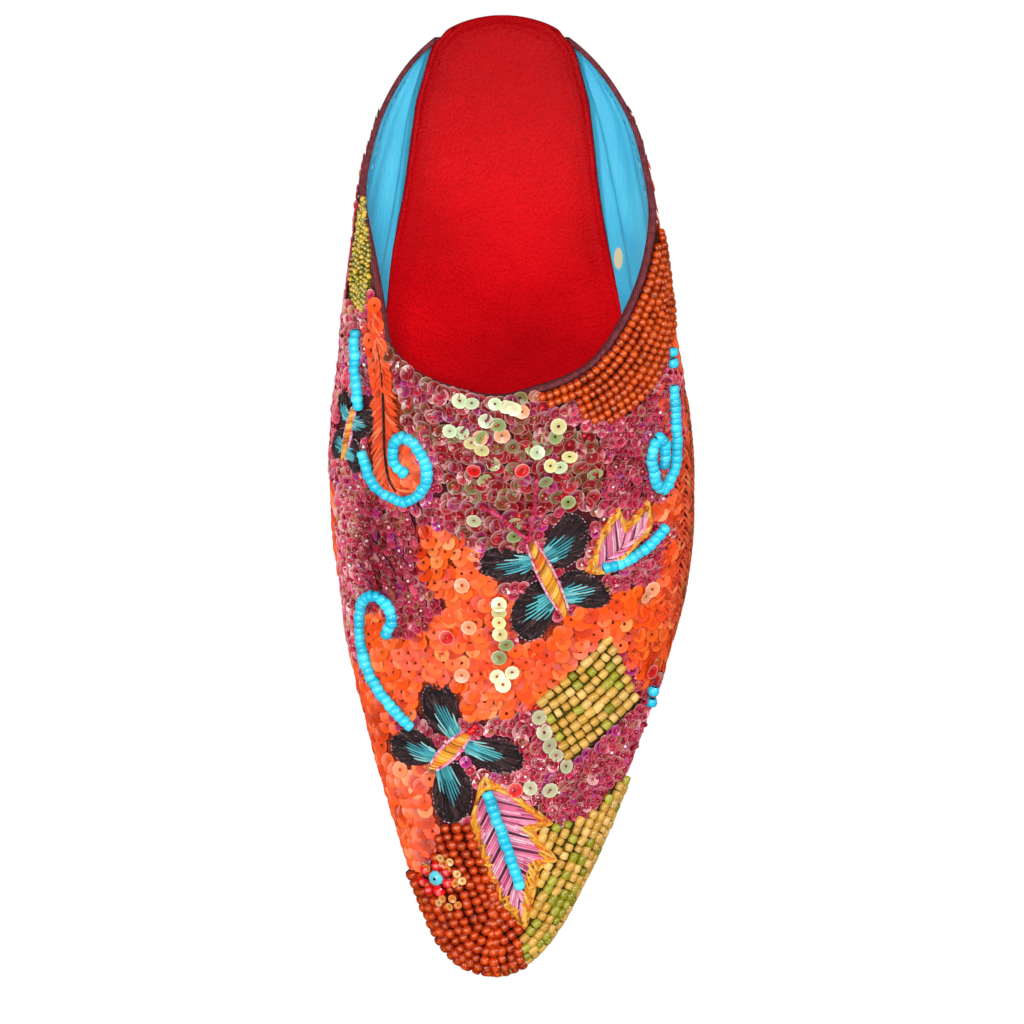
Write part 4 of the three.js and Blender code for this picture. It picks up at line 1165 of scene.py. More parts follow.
# Even places along the feather's middle line.
def featherLine(pitch):
    line = planRoute(featherBuild["middle"], 12)
    length = runLength(line)
    return readAlong(np.arange(0, length[-1], pitch), length, line)


def featherPiece():
    b = featherBuild
    line = featherLine(b["sequinPitch"])[:b["sequins"]]
    plan = joined([line + b["rightRow"], line[2:] + b["leftRow"]])
    count = len(plan)
    tilt = rng.normal(0.1, 0.1, count)
    heading = rng.normal(0, 0.4, count)
    sequinPiece("featherSequins", "feather", under(plan, 1.0), tilt, heading, 0.9)


# A row of sequins over the front edge of the foot opening, so little of the tape shows there.
rimBuild = {"pitch": 2.4, "below": 0.6, "from": 86.0, "toX": 3.0, "raised": 0.7}


def rimSequins():
    b = rimBuild
    side, at, rise, point, _, out = rimPath(160)
    front = (at > b["from"]) & (point[:, 0] < b["toX"])
    length = runLength(point[front])
    chosen = np.flatnonzero(front)[np.searchsorted(length, np.arange(0, length[-1], b["pitch"]))]
    side, down = side[chosen], -out[chosen] * b["below"]
    at, v = slideOver(side, at[chosen], rise[chosen], down)
    tilt = rng.normal(0.1, 0.06, len(at))
    heading = rng.uniform(-np.pi, np.pi, len(at))
    sequinPiece("rimSequins", "throat", (side, at, v), tilt, heading, b["raised"])


# Flat sequins that rise in low waves.
def orangeField():
    b = sequinBuild["orange"]
    side, at, v, x = fieldPlaces("orange")
    chosen = inside(x, zoneAt(at, v), *flatOrange) & ~underMotifs(x, at, v)
    side, at, v, x = (a[chosen] for a in (side, at, v, x))
    wave = ripple(x, at, *b["wave"])
    raised = np.clip(wave - b["flatBelow"], 0, 1)
    tilt = b["tilt"] + b["tiltWave"] * raised + rng.normal(0, b["tiltSpread"], len(at))
    heading = b["turnWave"] * wave + rng.normal(0, b["turnSpread"], len(at))
    sequinPiece("orangeSequins", "orange", (side, at, v), tilt, heading)


# Closely overlapping sequins that lean outward like feathers.
def coralField():
    b = sequinBuild["coral"]
    side, at, v, x = fieldPlaces("coral")
    zone = zoneAt(at, v)
    chosen = inside(x, zone, *featheredOrange) & ~underMotifs(x, at, v)
    chosen &= ~inside(x, zone, *flatOrange) & ~underWeave(side, at, v)
    chosen &= ~inside(x, zone, "orangeFeather") | inside(x, at, "orangeCurl")
    side, at, v, x = (a[chosen] for a in (side, at, v, x))
    wave = ripple(x, at, *b["wave"])
    tilt = b["tilt"] + b["tiltWave"] * wave + rng.normal(0, b["tiltSpread"], len(at))
    heading = side * (b["turn"] + b["turnWave"] * wave) + rng.normal(0, b["turnSpread"], len(at))
    sequinPiece("coralSequins", "coral", (side, at, v), tilt, heading)


# Larger sequins behind the butterfly, turned all ways, with a row over the edge of the opening.
def throatField():
    b = sequinBuild["throat"]
    side, at, v, x = fieldPlaces("throat")
    other = inside(x, at, *flatOrange, *featheredOrange) | underMotifs(x, at, v)
    chosen = inside(x, at, "throatMix") & ~other & (v > 1)
    side, at, v = (a[chosen] for a in (side, at, v))
    tilt = rng.normal(b["tilt"], b["tiltSpread"], len(at))
    heading = rng.uniform(-np.pi, np.pi, len(at))
    sequinPiece("throatSequins", "throat", (side, at, v), tilt, heading)
    rimSequins()
    looseSeeds("throat", rng.random(len(at)) < b["seeds"], side, at, v)


# The ground of small cupped sequins: steeper and more alike on the inner side, looking up on the walls.
def plumField():
    b = sequinBuild["plum"]
    side, at, v, x = fieldPlaces("plum")
    taken = inside(x, zoneAt(at, v), *flatOrange, *featheredOrange) | underMotifs(x, at, v)
    taken |= inside(x, at, "goldQuarter") & (v > onTop)
    taken |= inside(x, at, "throatMix") & (v > 1)
    side, at, v, x = (a[~taken] for a in (side, at, v, x))
    wave = ripple(x, at, *b["wave"])
    inner = eased(-x, 8, 14)
    tilt = b["tilt"] + b["tiltInner"] * inner + b["tiltWave"] * wave
    tilt = tilt + rng.normal(0, b["tiltSpread"], len(at))
    tilt = tilt * np.clip((v - b["levelRise"]) / b["levelOver"], -1, 1)
    spread = b["turnSpread"] - b["spreadInner"] * inner
    heading = -side * (b["turn"] + b["turnWave"] * wave) + rng.normal(0, spread, len(at))
    for part, half in (("Inner", side < 0), ("Outer", side > 0)):
        places = side[half], at[half], v[half]
        sequinPiece("plumSequins" + part, "plum", places, tilt[half], heading[half])
    seeds = (rng.random(len(at)) < b["seeds"] * (1 - b["seedsInner"] * inner)) & (v > 1.05)
    looseSeeds("plum", seeds, side, at, v)
    # Pale clear seed beads, scattered so that they also stand for painted glints.
    paintedGlintSeeds = (rng.random(len(at)) < b["paintedGlintSeeds"]) & (v > 1.1)
    looseSeeds("clearGlint", paintedGlintSeeds, side, at, v)


def sequinFields():
    orangeField()
    coralField()
    featherPiece()
    throatField()
    plumField()
    brightSequinPiece()


# A bead: rings along its own length, rounded at both ends, closed by flat faces round the thread.
beadSides = 10
heartRings = ((-0.5, 0.5), (-0.3, 0.9), (0.05, 1.0), (0.36, 0.84), (0.5, 0.2))
beadRings = ((-0.5, 0.4), (-0.37, 0.82), (0, 1.0), (0.37, 0.82), (0.5, 0.4))
ropeRings = ((-0.5, 0.55), (-0.38, 0.86), (0, 1.0), (0.38, 0.86), (0.5, 0.55))
tubeRings = ((-0.5, 0.62), (-0.42, 0.93), (0, 1.0), (0.42, 0.93), (0.5, 0.62))


def barrel(sides, length, rings):
    turn = turns(sides)
    points = joined([
        np.stack([r * np.cos(turn), np.full(sides, 2 * y * length), r * np.sin(turn)], -1)
        for y, r in rings])
    lid = lidFaces(sides)
    top = lid[:, ::-1] + (len(rings) - 1) * sides
    return points, joined([gridFaces(len(rings), sides, True), lid, top])


# What a bead is unless its kind says otherwise: drawn glass, even, strung straight, with painted shade at
# its ends and no painted highlight.
plainBead = {"glass": glassBead, "slot": "brown_beads", "rings": beadRings, "uneven": 0.04, "endShade": 0.42,
             "loose": 1.0, "paintedHighlight": None}
redGlass = [("#D00A14", 3), ("#E8141C", 2)]
tanBead = {
    "glass": stoneBead, "slot": "tan_beads", "radius": 1.2, "length": 1.0, "pitch": 2.34, "rings": tubeRings,
    "endShade": 0.84, "loose": 1.6,
    "palette": [("#CFA048", 6), ("#C49236", 3), ("#DCB062", 1.6), ("#8E8816", 2.2), ("#A8A030", 1.5)]}
beadBuild = {
    "band": {"radius": 1.24, "length": 0.8, "pitch": 1.9, "paintedHighlight": ("#FF9028", 0.4),
             "palette": [("#B63400", 5), ("#C43E00", 3), ("#A22800", 3)]},
    "toe": {"radius": 1.43, "length": 0.82, "pitch": 2.25, "uneven": 0.06, "loose": 2.2,
            "paintedHighlight": ("#FF8420", 0.36), "palette": [("#B02A00", 5), ("#C03400", 3), ("#9C2200", 3)]},
    "side": {**tanBead, "uneven": 0.1},
    "kite": {**tanBead, "uneven": 0.12},
    "turquoise": {"glass": stoneBead, "radius": 1.58, "length": 0.72, "pitch": 1.76, "rings": ropeRings,
                  "endShade": 0.84, "palette": [("#2CCAEA", 4), ("#44D4F0", 3), ("#1CBADE", 2)]},
    "gold": {"slot": "tan_beads", "radius": 0.72, "length": 0.85, "pitch": 1.3, "uneven": 0.2,
             "endShade": 0.5, "loose": 5.0, "paintedHighlight": ("#FFF0A0", 0.5),
             "palette": [("#C9A227", 3), ("#8F7D1C", 4), ("#6F6A1A", 3), ("#B59A35", 2)]},
    "heart": {"glass": stoneBead, "radius": 2.0, "length": 0.5, "rings": heartRings, "endShade": 0.9,
              "palette": [("#62D2E6", 1)]},
    "petal": {"radius": 1.6, "length": 0.8, "paintedHighlight": ("#FF9A90", 0.5), "palette": redGlass},
    "head": {"radius": 1.0, "length": 0.9, "palette": redGlass},
}


# Beads of one kind along strings of places, each a little out of line and of its own length.
def beadPiece(name, kind, strings, replaced=()):
    b = {**plainBead, **beadBuild[kind]}
    radius, rings = b["radius"], b["rings"]
    origin, along, up = (joined([s[i] for s in strings]) for i in range(3))
    count = len(origin)
    size = radius * rng.normal(1, 0.05, count)
    across = unit(np.cross(along, up))
    origin = origin + across * rng.normal(0, 0.07 * radius * b["loose"], (count, 1))
    origin = origin + up * rng.normal(0, 0.05 * radius, (count, 1))
    along = unit(along + across * rng.normal(0, 0.08 * b["loose"], (count, 1)))
    across = unit(np.cross(along, up))
    up = np.cross(across, along)
    shape = barrel(beadSides, b["length"], rings)
    along = along * rng.normal(1, b["uneven"], (count, 1))
    points, faces = stamp(shape, origin, across, along, up, size)
    # Painted shade: each bead is darker towards its ends.
    ends = np.hypot(shape[0][:, 0], shape[0][:, 2])
    shade = b["endShade"] + (1 - b["endShade"]) * eased(ends, 0.4, 0.55)
    colour = pick(b["palette"], count)[:, None] * shade[None, :, None]
    if b["paintedHighlight"]:  # a painted highlight, on the side away from the cloth
        paintedHighlightColour, paintedHighlightShare = b["paintedHighlight"]
        spot = beadSides * (len(rings) // 2) + 3
        colour[:, spot] += (hexLinear(paintedHighlightColour) - colour[:, spot]) * paintedHighlightShare
    meshPiece(name, points, faces, b["glass"], replaced, colour.reshape(-1, 3))


# Strings that follow the edge of the foot opening at even distances from it, on the outer side.
# Each row: the photograph's x at which it starts and the y at which it ends.
bandBuild = {"rows": [(329, 247), (335, 238), (364, 232), (367, 234), (371, 246), (379, 266), (394, 296)],
             "first": 2.1, "step": 2.45, "from": 45, "lift": 0.9}


def throatStrings():
    b = bandBuild
    strings = []
    side, at, rise, _, _, out = rimPath(160)
    outer = (side > 0) & (at > b["from"])
    side, at, rise, out = (a[outer] for a in (side, at, rise, out))
    for i, ends in enumerate(b["rows"]):
        rowAt, rowV = slideOver(side, at, rise, -out * (b["first"] + b["step"] * i))
        startX, endAt = planOf(ends)
        keep = (sidePoint(side, rowAt, rowV)[:, 0] > startX) & (rowAt > endAt)
        places = side[keep], rowAt[keep], rowV[keep]
        strings.append(evenPlaces(*places, beadBuild["band"]["pitch"], b["lift"]))
    return strings


# Plan distances from the widest line to places at even steps over the surface, read from one section.
def planSteps(side, at, first, step, rows):
    section = sidePoint(side, np.full(200, at), np.linspace(1, 2, 200))
    away = np.abs(section[:, 0] - section[0, 0])
    return np.interp(first + step * np.arange(rows), runLength(section), away)


# The toe's two bead fields: rows at even steps in from the widest line, and more below it down the wall.
patchBuild = {
    "toe": {"wall": -1, "section": 224.0, "rows": 12, "stepIn": 2.52, "lift": 1.4,
            "wallRows": 4, "wallFrom": 219, "wallTo": 243.7},
    "side": {"wall": 1, "section": 212.0, "rows": 13, "stepIn": 2.55, "lift": 1.25,
             "wallRows": 5, "wallFrom": 197, "wallTo": 243.6},
}
firstIn, wallLift = 0.7, 1.2


# Strings round the toe's outline, from one side round the tip to the other, each further in.
def toeStrings(region):
    b, pitch = patchBuild[region], beadBuild[region]["pitch"]
    angle = np.linspace(stationAngle(190.0), np.pi - 0.012, 400)
    at = stationAt(angle)
    left = np.stack([last["sideM"](angle), at], -1)
    right = np.stack([last["sideL"](angle), at], -1)
    edge = joined([left, right[::-1]]) if region == "toe" else right[::-1]
    ahead = unit(np.gradient(edge, axis=0))
    inward = np.stack([ahead[:, 1], -ahead[:, 0]], -1)
    strings = []
    for inset in planSteps(b["wall"], b["section"], firstIn, b["stepIn"], b["rows"]):
        path = edge + inward * inset
        wanted = inside(path[:, 0], path[:, 1], region)
        middleOut = np.linalg.norm(path[:, None] - edge[None, ::8], axis=-1).min(1) > 0.85 * inset
        path = path[wanted & middleOut]
        if len(path) > 6:
            side, v = fromPlan(path[:, 0], path[:, 1])
            string = evenPlaces(side, path[:, 1], v, pitch, b["lift"])
            keep = inside(string[0][:, 0], middle - string[0][:, 1], region)
            strings.append([a[keep] for a in string])
    return strings


# Rows down the wall, fewer where it is low.
def wallStrings(region):
    b, pitch = patchBuild[region], beadBuild[region]["pitch"]
    angle = np.linspace(stationAngle(b["wallFrom"]), stationAngle(b["wallTo"]), 200)
    high = last["wide"](angle) * 0.8 / (b["wallRows"] - 1) > 1.3
    strings = []
    for row, v in enumerate(np.linspace(0.9, 0.1, b["wallRows"])):
        at = stationAt(angle)[high | (row % 2 == 0)]
        origin, along, up = evenPlaces(np.full(len(at), b["wall"]), at, np.full(len(at), v), pitch, 0)
        ease = 0.5 + 0.5 * eased(middle - origin[:, 1:2], b["wallFrom"], 10)
        strings.append((origin + up * wallLift * ease, along, up))
    return strings


# One bead closes the front, where the two sides' strings end.
def tipBead():
    ahead = np.array([[0.0, -1.0, 0.0]])
    front = sidePoint(-1, np.array([tip]), np.array([1.0]))
    return front + ahead * wallLift, np.array([[1.0, 0.0, 0.0]]), ahead


# Two more rows between the wall's beads and the toe's.
def shoulderStrings():
    at = np.linspace(219.5, 242, 60)
    side = np.full(60, -1)
    return [evenPlaces(side, at, np.full(60, v), beadBuild["toe"]["pitch"], wallLift) for v in (1.0, 1.13)]


# The kite's rows run between two of its edges, slightly bent.
kiteBuild = {
    "from": [(328.5, 698.0), (357.0, 758.0)], "to": [(394.5, 637.5), (424.0, 701.0)], "bend": (1.5, 2.0),
    "shares": np.linspace(0.05, 0.95, 7), "lift": 1.0}


def kiteStrings():
    b = kiteBuild
    (a, c), (d, e) = np.array(b["from"]), np.array(b["to"])
    strings = []
    for share in b["shares"]:
        first, final = a * (1 - share) + c * share, d * (1 - share) + e * share
        bend = (first + final) / 2 + b["bend"]
        strings.append(routePlaces([first, bend, final], beadBuild["kite"]["pitch"], b["lift"]))
    return strings


# Gold rows at the end of the inner side, each a shift of the first.
goldBuild = {"first": [(152, 200), (157, 262), (151, 312)], "shift": [(-1.3, 5), (-4.4, 3), (-2.4, -3)],
             "shifts": np.linspace(0, 4, 7), "lift": 0.7}
turquoiseLift = 1.6


def goldStrings():
    b = goldBuild
    first, shift = np.array(b["first"]), np.array(b["shift"])
    return [routePlaces(first + shift * k, beadBuild["gold"]["pitch"], b["lift"]) for k in b["shifts"]]


def beadWork():
    beadPiece("throatBeads", "band", throatStrings(), ("throat_bead_band",))
    toe = toeStrings("toe") + wallStrings("toe") + [tipBead()] + shoulderStrings()
    beadPiece("toeBeads", "toe", toe, ("toe_bead_patch",))
    beadPiece("sideBeads", "side", toeStrings("side") + wallStrings("side"), ("side_bead_patch",))
    beadPiece("kiteBeads", "kite", kiteStrings(), ("kite_bead_patch",))
    pitch = beadBuild["turquoise"]["pitch"]
    strings = [routePlaces(route, pitch, turquoiseLift) for route in turquoiseRoutes]
    beadPiece("turquoiseStrings", "turquoise", strings)
    beadPiece("goldSeedBeads", "gold", goldStrings())
    flowerBeads()


# The toe's flower: a blue bead on end, red beads round it and small gold ones outside.
flowerBuild = {
    "centre": (223.0, 879.0), "petals": 7, "turn": 0.3, "reach": 13, "heartLift": 2.3, "petalLift": 1.9,
    "sequinLift": 2.6, "sequinRaised": 2.5, "sequins": [
        (231, 864), (238, 862), (235, 869), (245, 874), (250, 881), (243, 884), (240, 899), (246, 905),
        (237, 907), (226, 903), (230, 899), (214, 868), (228, 858)]}
# Red beads at the butterflies' heads.
headBuild = {"places": [(263, 727), (259, 731), (317, 537)], "lift": 1.7}


# Beads on end: their holes point out of the surface.
def standingBeads(places, lift):
    side, at, v = under(planOf(places), lift)
    normal = surfaceNormal(side, at, v)
    origin = sidePoint(side, at, v) + normal * lift
    return origin, normal, unit(np.cross(normal, np.array([0.3, 1.0, 0.2])))


# Beads on their sides, each turned its own way.
def lyingBeads(places, lift):
    origin, normal, across = standingBeads(places, lift)
    turn = rng.uniform(0, np.pi, (len(origin), 1))
    return origin, across * np.cos(turn) + np.cross(normal, across) * np.sin(turn), normal


def flowerBeads():
    b = flowerBuild
    centre = np.array(b["centre"])
    turn = turns(b["petals"]) + b["turn"]
    ring = centre + b["reach"] * np.stack([np.cos(turn), np.sin(turn)], -1)
    beadPiece("flowerHeart", "heart", [standingBeads(centre[None], b["heartLift"])])
    beadPiece("flowerPetals", "petal", [lyingBeads(ring, b["petalLift"])])
    places = under(planOf(b["sequins"]), b["sequinLift"])
    count = len(b["sequins"])
    tint = pick(sequinBuild["small"]["palette"], count)
    tilt = rng.normal(0.15, 0.08, count)
    heading = rng.uniform(-3, 3, count)
    sequinPiece("flowerSequins", "small", places, tilt, heading, b["sequinRaised"], tint)
    beadPiece("butterflyHeads", "head", [lyingBeads(headBuild["places"], headBuild["lift"])])


threadColours = {
    "dark": [("#261518", 5), ("#40282C", 3), ("#160B0E", 3), ("#5A3E42", 1.2)],
    "fleck": [("#261518", 4), ("#4A3236", 3), ("#120809", 3), ("#786064", 1)],
    "seam": [("#5A2438", 3), ("#743050", 2)],
    "blue": [("#5CBEC4", 4), ("#429FAC", 3), ("#9CD8D8", 1.5), ("#2C6E7A", 1.2)],
    "gold": [("#F0A42C", 4), ("#F8C05A", 3), ("#DC861A", 2), ("#E86A1C", 1.8), ("#A85E1A", 1)],
    "pink": [("#F898B8", 4), ("#EE7CA2", 3), ("#FFC8D8", 2.5), ("#C84A7C", 0.8)],
    "outline": [("#D0A4AC", 3), ("#9A626E", 3), ("#6A3A48", 2)],
    "coral": [("#F2501E", 4), ("#FA6634", 3), ("#D83A10", 3), ("#FF8050", 1)],
    "rust": [("#BC4212", 4), ("#D84E16", 3), ("#8A3010", 1.6), ("#8E7822", 1.2), ("#E85C24", 2)],
    "rose": [("#C0284E", 3), ("#D84A74", 2), ("#A01838", 2)],
}


# Each kind of stitch: its thread's colour, radius, lift from the surface and arch.
stitchKinds = {
    "wing": ("dark", 0.26, 0.55, 0.75), "wingEdge": ("dark", 0.24, 0.55, 0.3),
    "fleck": ("fleck", 0.2, 1.15, 0.2), "wingOutline": ("outline", 0.2, 0.5, 0.2),
    "ray": ("blue", 0.24, 1.3, 0.42), "shortRay": ("blue", 0.24, 1.4, 0.38),
    "body": ("gold", 0.4, 1.0, 0.75), "bodyEdge": ("pink", 0.36, 1.0, 0.35),
    "leafSatin": ("pink", 0.3, 0.5, 0.55), "leafSeam": ("seam", 0.26, 0.6, 0.4),
    "leafTop": ("pink", 0.27, 0.9, 0.4), "leafTwist": ("gold", 0.4, 0.9, 0.85),
    "leafReturn": ("gold", 0.4, 0.85, 0.9), "leafRim": ("gold", 0.42, 0.7, 0.4),
    "leafOuter": ("gold", 0.42, 0.6, 0.5), "barb": ("coral", 0.46, 0.55, 0.75),
    "quill": ("dark", 0.3, 1.0, 0.2), "feeler": ("rose", 0.5, 1.6, 0.3),
    "feelerTop": ("rose", 0.5, 2.1, 0.3), "coralChain": ("coral", 0.42, 0.0, 0.55),
    "rustChain": ("rust", 0.42, 0.0, 0.55),
}
threadBuild = {"fine": 0.3, "fineSides": 4, "sides": 6, "endTaper": 0.55, "steps": 5, "mapScale": 4}


# Threads: round tubes over many paths at once, with a map that runs along and round each one.
def threadTubes(paths, normals, radius):
    b = threadBuild
    sides = b["sides"] if radius > b["fine"] else b["fineSides"]
    count, steps = paths.shape[:2]
    ahead = unit(np.gradient(paths, axis=1))
    across = unit(np.cross(ahead, normals))
    up = np.cross(across, ahead)
    taper = np.ones(steps)
    taper[[0, -1]] = b["endTaper"]
    turn = turns(sides)
    ring = across[:, :, None] * np.cos(turn)[:, None] + up[:, :, None] * np.sin(turn)[:, None]
    points = (paths[:, :, None] + ring * (radius * taper)[None, :, None, None]).reshape(-1, 3)
    lid = lidFaces(sides)
    ends = joined([lid, lid[:, ::-1] + (steps - 1) * sides])
    shift = (np.arange(count) * steps * sides)[:, None, None]
    faces = joined([(f[None] + shift).reshape(-1, 4) for f in (gridFaces(steps, sides, True), ends)])
    stretches = np.linalg.norm(np.diff(paths, axis=1), axis=2)
    length = joined([np.zeros((count, 1)), np.cumsum(stretches, 1)], 1)
    lengthways, roundways = length[:, :, None] * b["mapScale"], (turn / (2 * np.pi) * 2)[None, None]
    uv = np.stack(np.broadcast_arrays(lengthways, roundways), -1).reshape(-1, 2)
    return points, faces, uv, steps * sides


# A drawing in plan, laid on the surface as it is seen from above.
def seenFromAbove(plan):
    return under(plan, 0.9)


# Stitches lie on the surface between two places of a flat drawing, with a slight arch.
def stitchPaths(starts, ends, lift, arch, laid):
    share = np.linspace(0, 1, threadBuild["steps"])[None, :, None]
    side, at, v = laid(starts[:, None] * (1 - share) + ends[:, None] * share)
    height = lift + arch * (4 * share[..., 0] * (1 - share[..., 0])) ** 0.6
    normal = surfaceNormal(side, at, v)
    return sidePoint(side, at, v) + normal * height[..., None], normal


# Groups of stitches and the pads under them as one piece. A group may end with a lift for each stitch.
def stitchPiece(name, groups, replaced=(), laid=seenFromAbove, pads=(), raised=0.0):
    parts = [(p, f, p[:, :2] * threadBuild["mapScale"], np.repeat(c[None], len(p), 0)) for p, f, c in pads]
    for kind, starts, ends, *ownLift in groups:
        colour, radius, lift, arch = stitchKinds[kind]
        lift = lift + raised + (ownLift[0] if ownLift else 0)
        paths, normals = stitchPaths(starts, ends, lift, arch, laid)
        points, faces, uv, each = threadTubes(paths, normals, radius)
        parts.append((points, faces, uv, np.repeat(pick(threadColours[colour], len(starts)), each, 0)))
    points, faces, uv, tint = zip(*parts)
    shifts = np.cumsum([0] + [len(p) for p in points])
    faces = joined([f + shift for f, shift in zip(faces, shifts)])
    points, uv, tint = (joined(a) for a in (points, uv, tint))
    meshPiece(name, points, faces, cottonThread, replaced, tint, uv)


# A padded dome inside an outline: rings shrink to the middle and rise as they go in.
def domePad(rim, lift, height, laid, rings=9):
    share = np.linspace(1, 0.02, rings)[:, None, None]
    centre = rim.mean(0)
    side, at, v = laid(centre + (rim - centre) * share)
    rise = lift + height * (1 - share[..., 0] ** 3) + 0 * at
    low = onSurface(side[:1], at[:1], v[:1], np.full((1, len(rim)), 0.05))
    skin = joined([low, onSurface(side, at, v, rise)])
    lid = lidFaces(len(rim))
    faces = joined([gridFaces(rings + 1, len(rim), True), lid[:, ::-1], lid + rings * len(rim)])
    area = np.sum(rim[:, 0] * np.roll(rim[:, 1], -1) - rim[:, 1] * np.roll(rim[:, 0], -1))
    return skin.reshape(-1, 3), faces if area > 0 else faces[:, ::-1]


butterflyBuild = {
    "rimSteps": 72, "roots": (0.25, 0.75), "padLift": 0.35, "padHeight": 0.65, "pad": "#1C1013",
    "flecks": 110, "rays": 8, "bodySteps": 30, "bodyHalf": 1.7, "bodySlant": 0.06, "bodyEdge": 0.35}


# A butterfly: each wing a dark pad with long and short stitches from its edge in, flecks, and blue rays
# from its root; then a gold body of slanting stitches between two pink lines.
def butterfly(name, body, wingOutlines, replaced=(), laid=seenFromAbove, raised=0.0):
    b = butterflyBuild
    groups, pads = [], []
    spineWay = body[1] - body[0]
    for corners in wingOutlines:
        rim = evenOutline(corners, b["rimSteps"])
        centre = rim.mean(0)
        share = np.clip(((centre - body[0]) @ spineWay) / np.sum(spineWay ** 2), *b["roots"])
        root = body[0] * (1 - share) + body[1] * share
        pads.append((*domePad(rim, b["padLift"] + raised, b["padHeight"], laid), hexLinear(b["pad"])))
        axis = (centre - root) / np.linalg.norm(centre - root)
        cross = np.array([-axis[1], axis[0]])
        far = (rim - root) @ axis
        wide = np.abs((rim - centre) @ cross).max()
        outer = np.repeat(rim[far > 0.3 * far.max()], 2, axis=0)
        outer = outer + rng.normal(0, 0.15, outer.shape)
        inner = outer + (root - outer) * rng.uniform(0.3, 0.7, (len(outer), 1))
        groups.append(("wing", outer + (centre - outer) * 0.04, inner))
        edge = rim + (centre - rim) * 0.1
        groups.append(("wingEdge", edge, np.roll(edge, -2, axis=0)))
        each = (b["flecks"], 1)
        spots = rim[rng.integers(0, len(rim), b["flecks"])]
        spots = centre + (spots - centre) * np.sqrt(rng.uniform(0.05, 0.85, each))
        ends = spots + axis * rng.uniform(0.8, 1.3, each) + cross * rng.normal(0, 0.25, each)
        groups.append(("fleck", spots, ends))
        fan = np.linspace(-1, 1, b["rays"])[:, None]
        reach = far.max() * (0.74 - 0.3 * fan ** 2 + rng.uniform(-0.08, 0.06, fan.shape))
        starts = root + axis * (1.7 + 0.5 * fan ** 2) + cross * fan * wide * 0.3
        ends = root + axis * reach + cross * fan * wide * 0.48
        groups.append(("ray", starts, ends))
        shorter = starts + (ends - starts) * rng.uniform(0.3, 0.55, fan.shape) + cross * 0.25
        groups.append(("shortRay", starts + cross * 0.25, shorter))
        groups.append(("wingOutline", rim[::2], np.roll(rim, -1, axis=0)[::2]))
    across = np.array([-spineWay[1], spineWay[0]]) / np.linalg.norm(spineWay)
    steps = np.linspace(0.02, 0.98, b["bodySteps"])[:, None]
    spine = body[0] + spineWay * steps
    width = b["bodyHalf"] * np.sin(np.pi * (0.14 + 0.72 * steps))
    slant = spineWay * b["bodySlant"]
    groups.append(("body", spine - across * width - slant, spine + across * width + slant))
    for way in (-1, 1):
        edge = spine + across * way * (width + b["bodyEdge"])
        groups.append(("bodyEdge", edge[:-1], edge[1:]))
    stitchPiece(name, groups, replaced, laid, pads, raised)


# Leaves: slanting satin stitches from a middle line to both edges, and a gold twist round the outline.
leafBuild = {
    "leafToe": {
        "vein": [(272, 786), (312, 912)], "slant": 6.0, "twist": 2.9, "stitches": 120, "node": "leaf_toe"},
    "leafSide": {
        "vein": [(386, 568), (436, 528)], "slant": 5.0, "twist": 1.2, "stitches": 90, "node": "leaf_side"},
}


def leaf(name):
    b = leafBuild[name]
    rim = evenCorners(planOf(outlines[name]), b["stitches"])
    line = planOf(b["vein"])
    axis = line[1] - line[0]
    long = np.linalg.norm(axis)
    axis = axis / long
    starts = line[0] + axis * np.clip((rim - line[0]) @ axis - b["slant"], 0, long)[:, None]
    inward = (starts - rim) / np.maximum(np.linalg.norm(starts - rim, axis=1), 0.5)[:, None]
    bundle = np.arange(len(rim)) % 6  # a dark seam, then five satin stitches
    seam, top = bundle == 0, bundle > 1
    loose = rng.normal(0, 0.28, rim.shape)
    twistIn = rim + inward * b["twist"] + loose
    twistBack = rim + inward * b["twist"] * 0.88 + loose
    edge = rim + inward * 0.4
    stitchPiece(name, [
        ("leafSatin", starts[~seam], (starts + (rim - starts) * 0.94)[~seam]),
        ("leafSeam", starts[seam], (starts + (rim - starts) * 0.97)[seam]),
        ("leafTop", ((starts + rim) / 2)[top], (rim + inward)[top]),
        ("leafTwist", twistIn[::2], np.roll(rim, -3, axis=0)[::2]),
        ("leafReturn", rim[::2], np.roll(twistBack, -3, axis=0)[::2]),
        ("leafRim", edge, np.roll(edge, -2, axis=0)),
        ("leafOuter", rim - inward * 0.6, np.roll(rim - inward * 0.2, -3, axis=0)),
    ], (b["node"],))


# The third butterfly lies on the inner side: its drawing is turned, and slid over the wall from one place.
sideButterfly = {"at": 106.5, "rise": 1.3, "size": 0.78, "narrow": 0.66, "turn": 0.75, "raised": 0.4}


def onInnerSide(drawing):
    b = sideButterfly
    shape = drawing.shape[:-1]
    side, at, v = np.full(shape, -1), np.full(shape, b["at"]), np.full(shape, b["rise"])
    ahead = unit(sidePoint(side, at + slideAt, v) - sidePoint(side, at - slideAt, v))
    climb = unit(sidePoint(side, at, v + slideRise) - sidePoint(side, at, v - slideRise))
    at, v = slideOver(side, at, v, climb * drawing[..., :1] * b["narrow"] + ahead * drawing[..., 1:], 6)
    return side, at, v


def turnedDrawing(places, centre):
    c, s = math.cos(sideButterfly["turn"]), math.sin(sideButterfly["turn"])
    return (places - centre) @ np.array([[c, s], [-s, c]]) * sideButterfly["size"]


